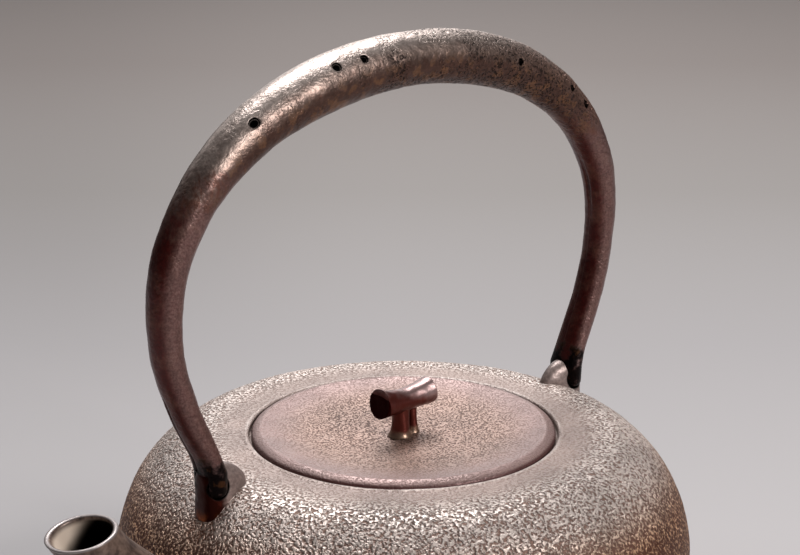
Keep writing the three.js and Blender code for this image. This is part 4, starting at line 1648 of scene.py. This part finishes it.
@dataclass
class Studio:
    """Floor, lamps and camera."""

    lens: float = 87.68
    sensor: float = 36.0
    eye: Place = (368.11, 401.36, 312.72)
    forward: Place = (-0.64607, -0.70697, -0.28774)
    upward: Place = (-0.19464, -0.21191, 0.95771)
    floor_side: float = 8.0  # metres from the middle to each edge
    floor_stops: tuple[tuple[float, Colour], ...] = (
        (0.04, colour(186, 182, 183)),
        (0.2, colour(169, 165, 166)),
        (0.42, colour(152, 147, 145)),
        (0.75, colour(142, 134, 131)),
    )
    air: Colour = colour(222, 222, 225)
    air_strength: float = 0.08
    lamps: tuple[Lamp, ...] = (
        Lamp("overhead", (-0.62, -0.78, 1.7), 0.95, 33.0),
        Lamp("back_panel", (-2.2, -2.5, 1.15), 2.1, 17.0, aim=(0, 0, 0.15)),
        Lamp("right_window", (-0.3, 1.6, 1.0), 0.55, 25.0, tint=(1, 0.98, 0.96)),
        Lamp("left_panel", (-0.1, -1.65, 0.95), 0.8, 1.5, aim=(0, 0, 0.15)),
    )

    def camera(self) -> None:
        """The camera, where the photograph was taken from."""
        data = bpy.data.cameras.new("camera")
        data.lens = self.lens
        data.sensor_width = self.sensor
        data.clip_start = 0.01
        data.clip_end = 50
        camera = bpy.data.objects.new("camera", data)
        bpy.context.scene.collection.objects.link(camera)
        ahead = Vector(self.forward).normalized()
        right = ahead.cross(Vector(self.upward)).normalized()
        turn = Matrix((right, right.cross(ahead), -ahead)).transposed().to_4x4()
        camera.matrix_world = Matrix.Translation(Vector(self.eye) * MM) @ turn
        bpy.context.scene.camera = camera

    def floor(self) -> None:
        """A wide pale floor, a little darker away from the lamps."""
        side = self.floor_side
        corners = [(-side, -side, 0), (side, -side, 0), (side, side, 0), (-side, side, 0)]
        mesh = bpy.data.meshes.new("floor")
        mesh.from_pydata(corners, [], [(0, 1, 2, 3)])
        made = bpy.data.objects.new("floor", mesh)
        bpy.context.scene.collection.objects.link(made)
        sheet = FinishSheet("floor_paper")
        x, y, _ = sheet.axes(sheet.place())
        away = x * -0.675 + y * -0.738
        aside = x * -0.738 + y * 0.675
        share = (away - 100.0) / 1400.0
        tone = sheet.node("ShaderNodeValToRGB", {"stops": self.floor_stops}, {0: share}).outputs[0]
        left = (aside / (away.most(0.0) + 550.0)).step(-0.2, 0.0) - 1
        tone = sheet.shaded(tone, left * away.step(120.0, 600.0) * 0.17 + 1)
        mesh.materials.append(sheet.finish(Base_Color=tone, Roughness=0.9, Specular_IOR_Level=0.1))

    def world(self) -> None:
        """Even pale light from all round."""
        world = bpy.data.worlds.new("studio")
        world.use_nodes = True
        bpy.context.scene.world = world
        background = world.node_tree.nodes["Background"]
        background.inputs["Color"].default_value = self.air
        background.inputs["Strength"].default_value = self.air_strength

    def build(self) -> None:
        """Sets up the whole studio."""
        self.camera()
        self.world()
        self.floor()
        for lamp in self.lamps:
            lamp.build()
        bpy.context.scene.view_settings.view_transform = "Standard"


def main() -> None:
    """Builds the studio and every piece."""
    logging.basicConfig(level=logging.INFO, format="%(name)s: %(message)s")
    Studio().build()
    lugs = [Lug(side) for side in Side]
    for builder in [KettleBody(), Spout(), *lugs, Handle(), Lid(), Knob(), Washer()]:
        for piece in builder.build():
            log.info("built %s", piece.name)


if __name__ == "__main__":
    main()
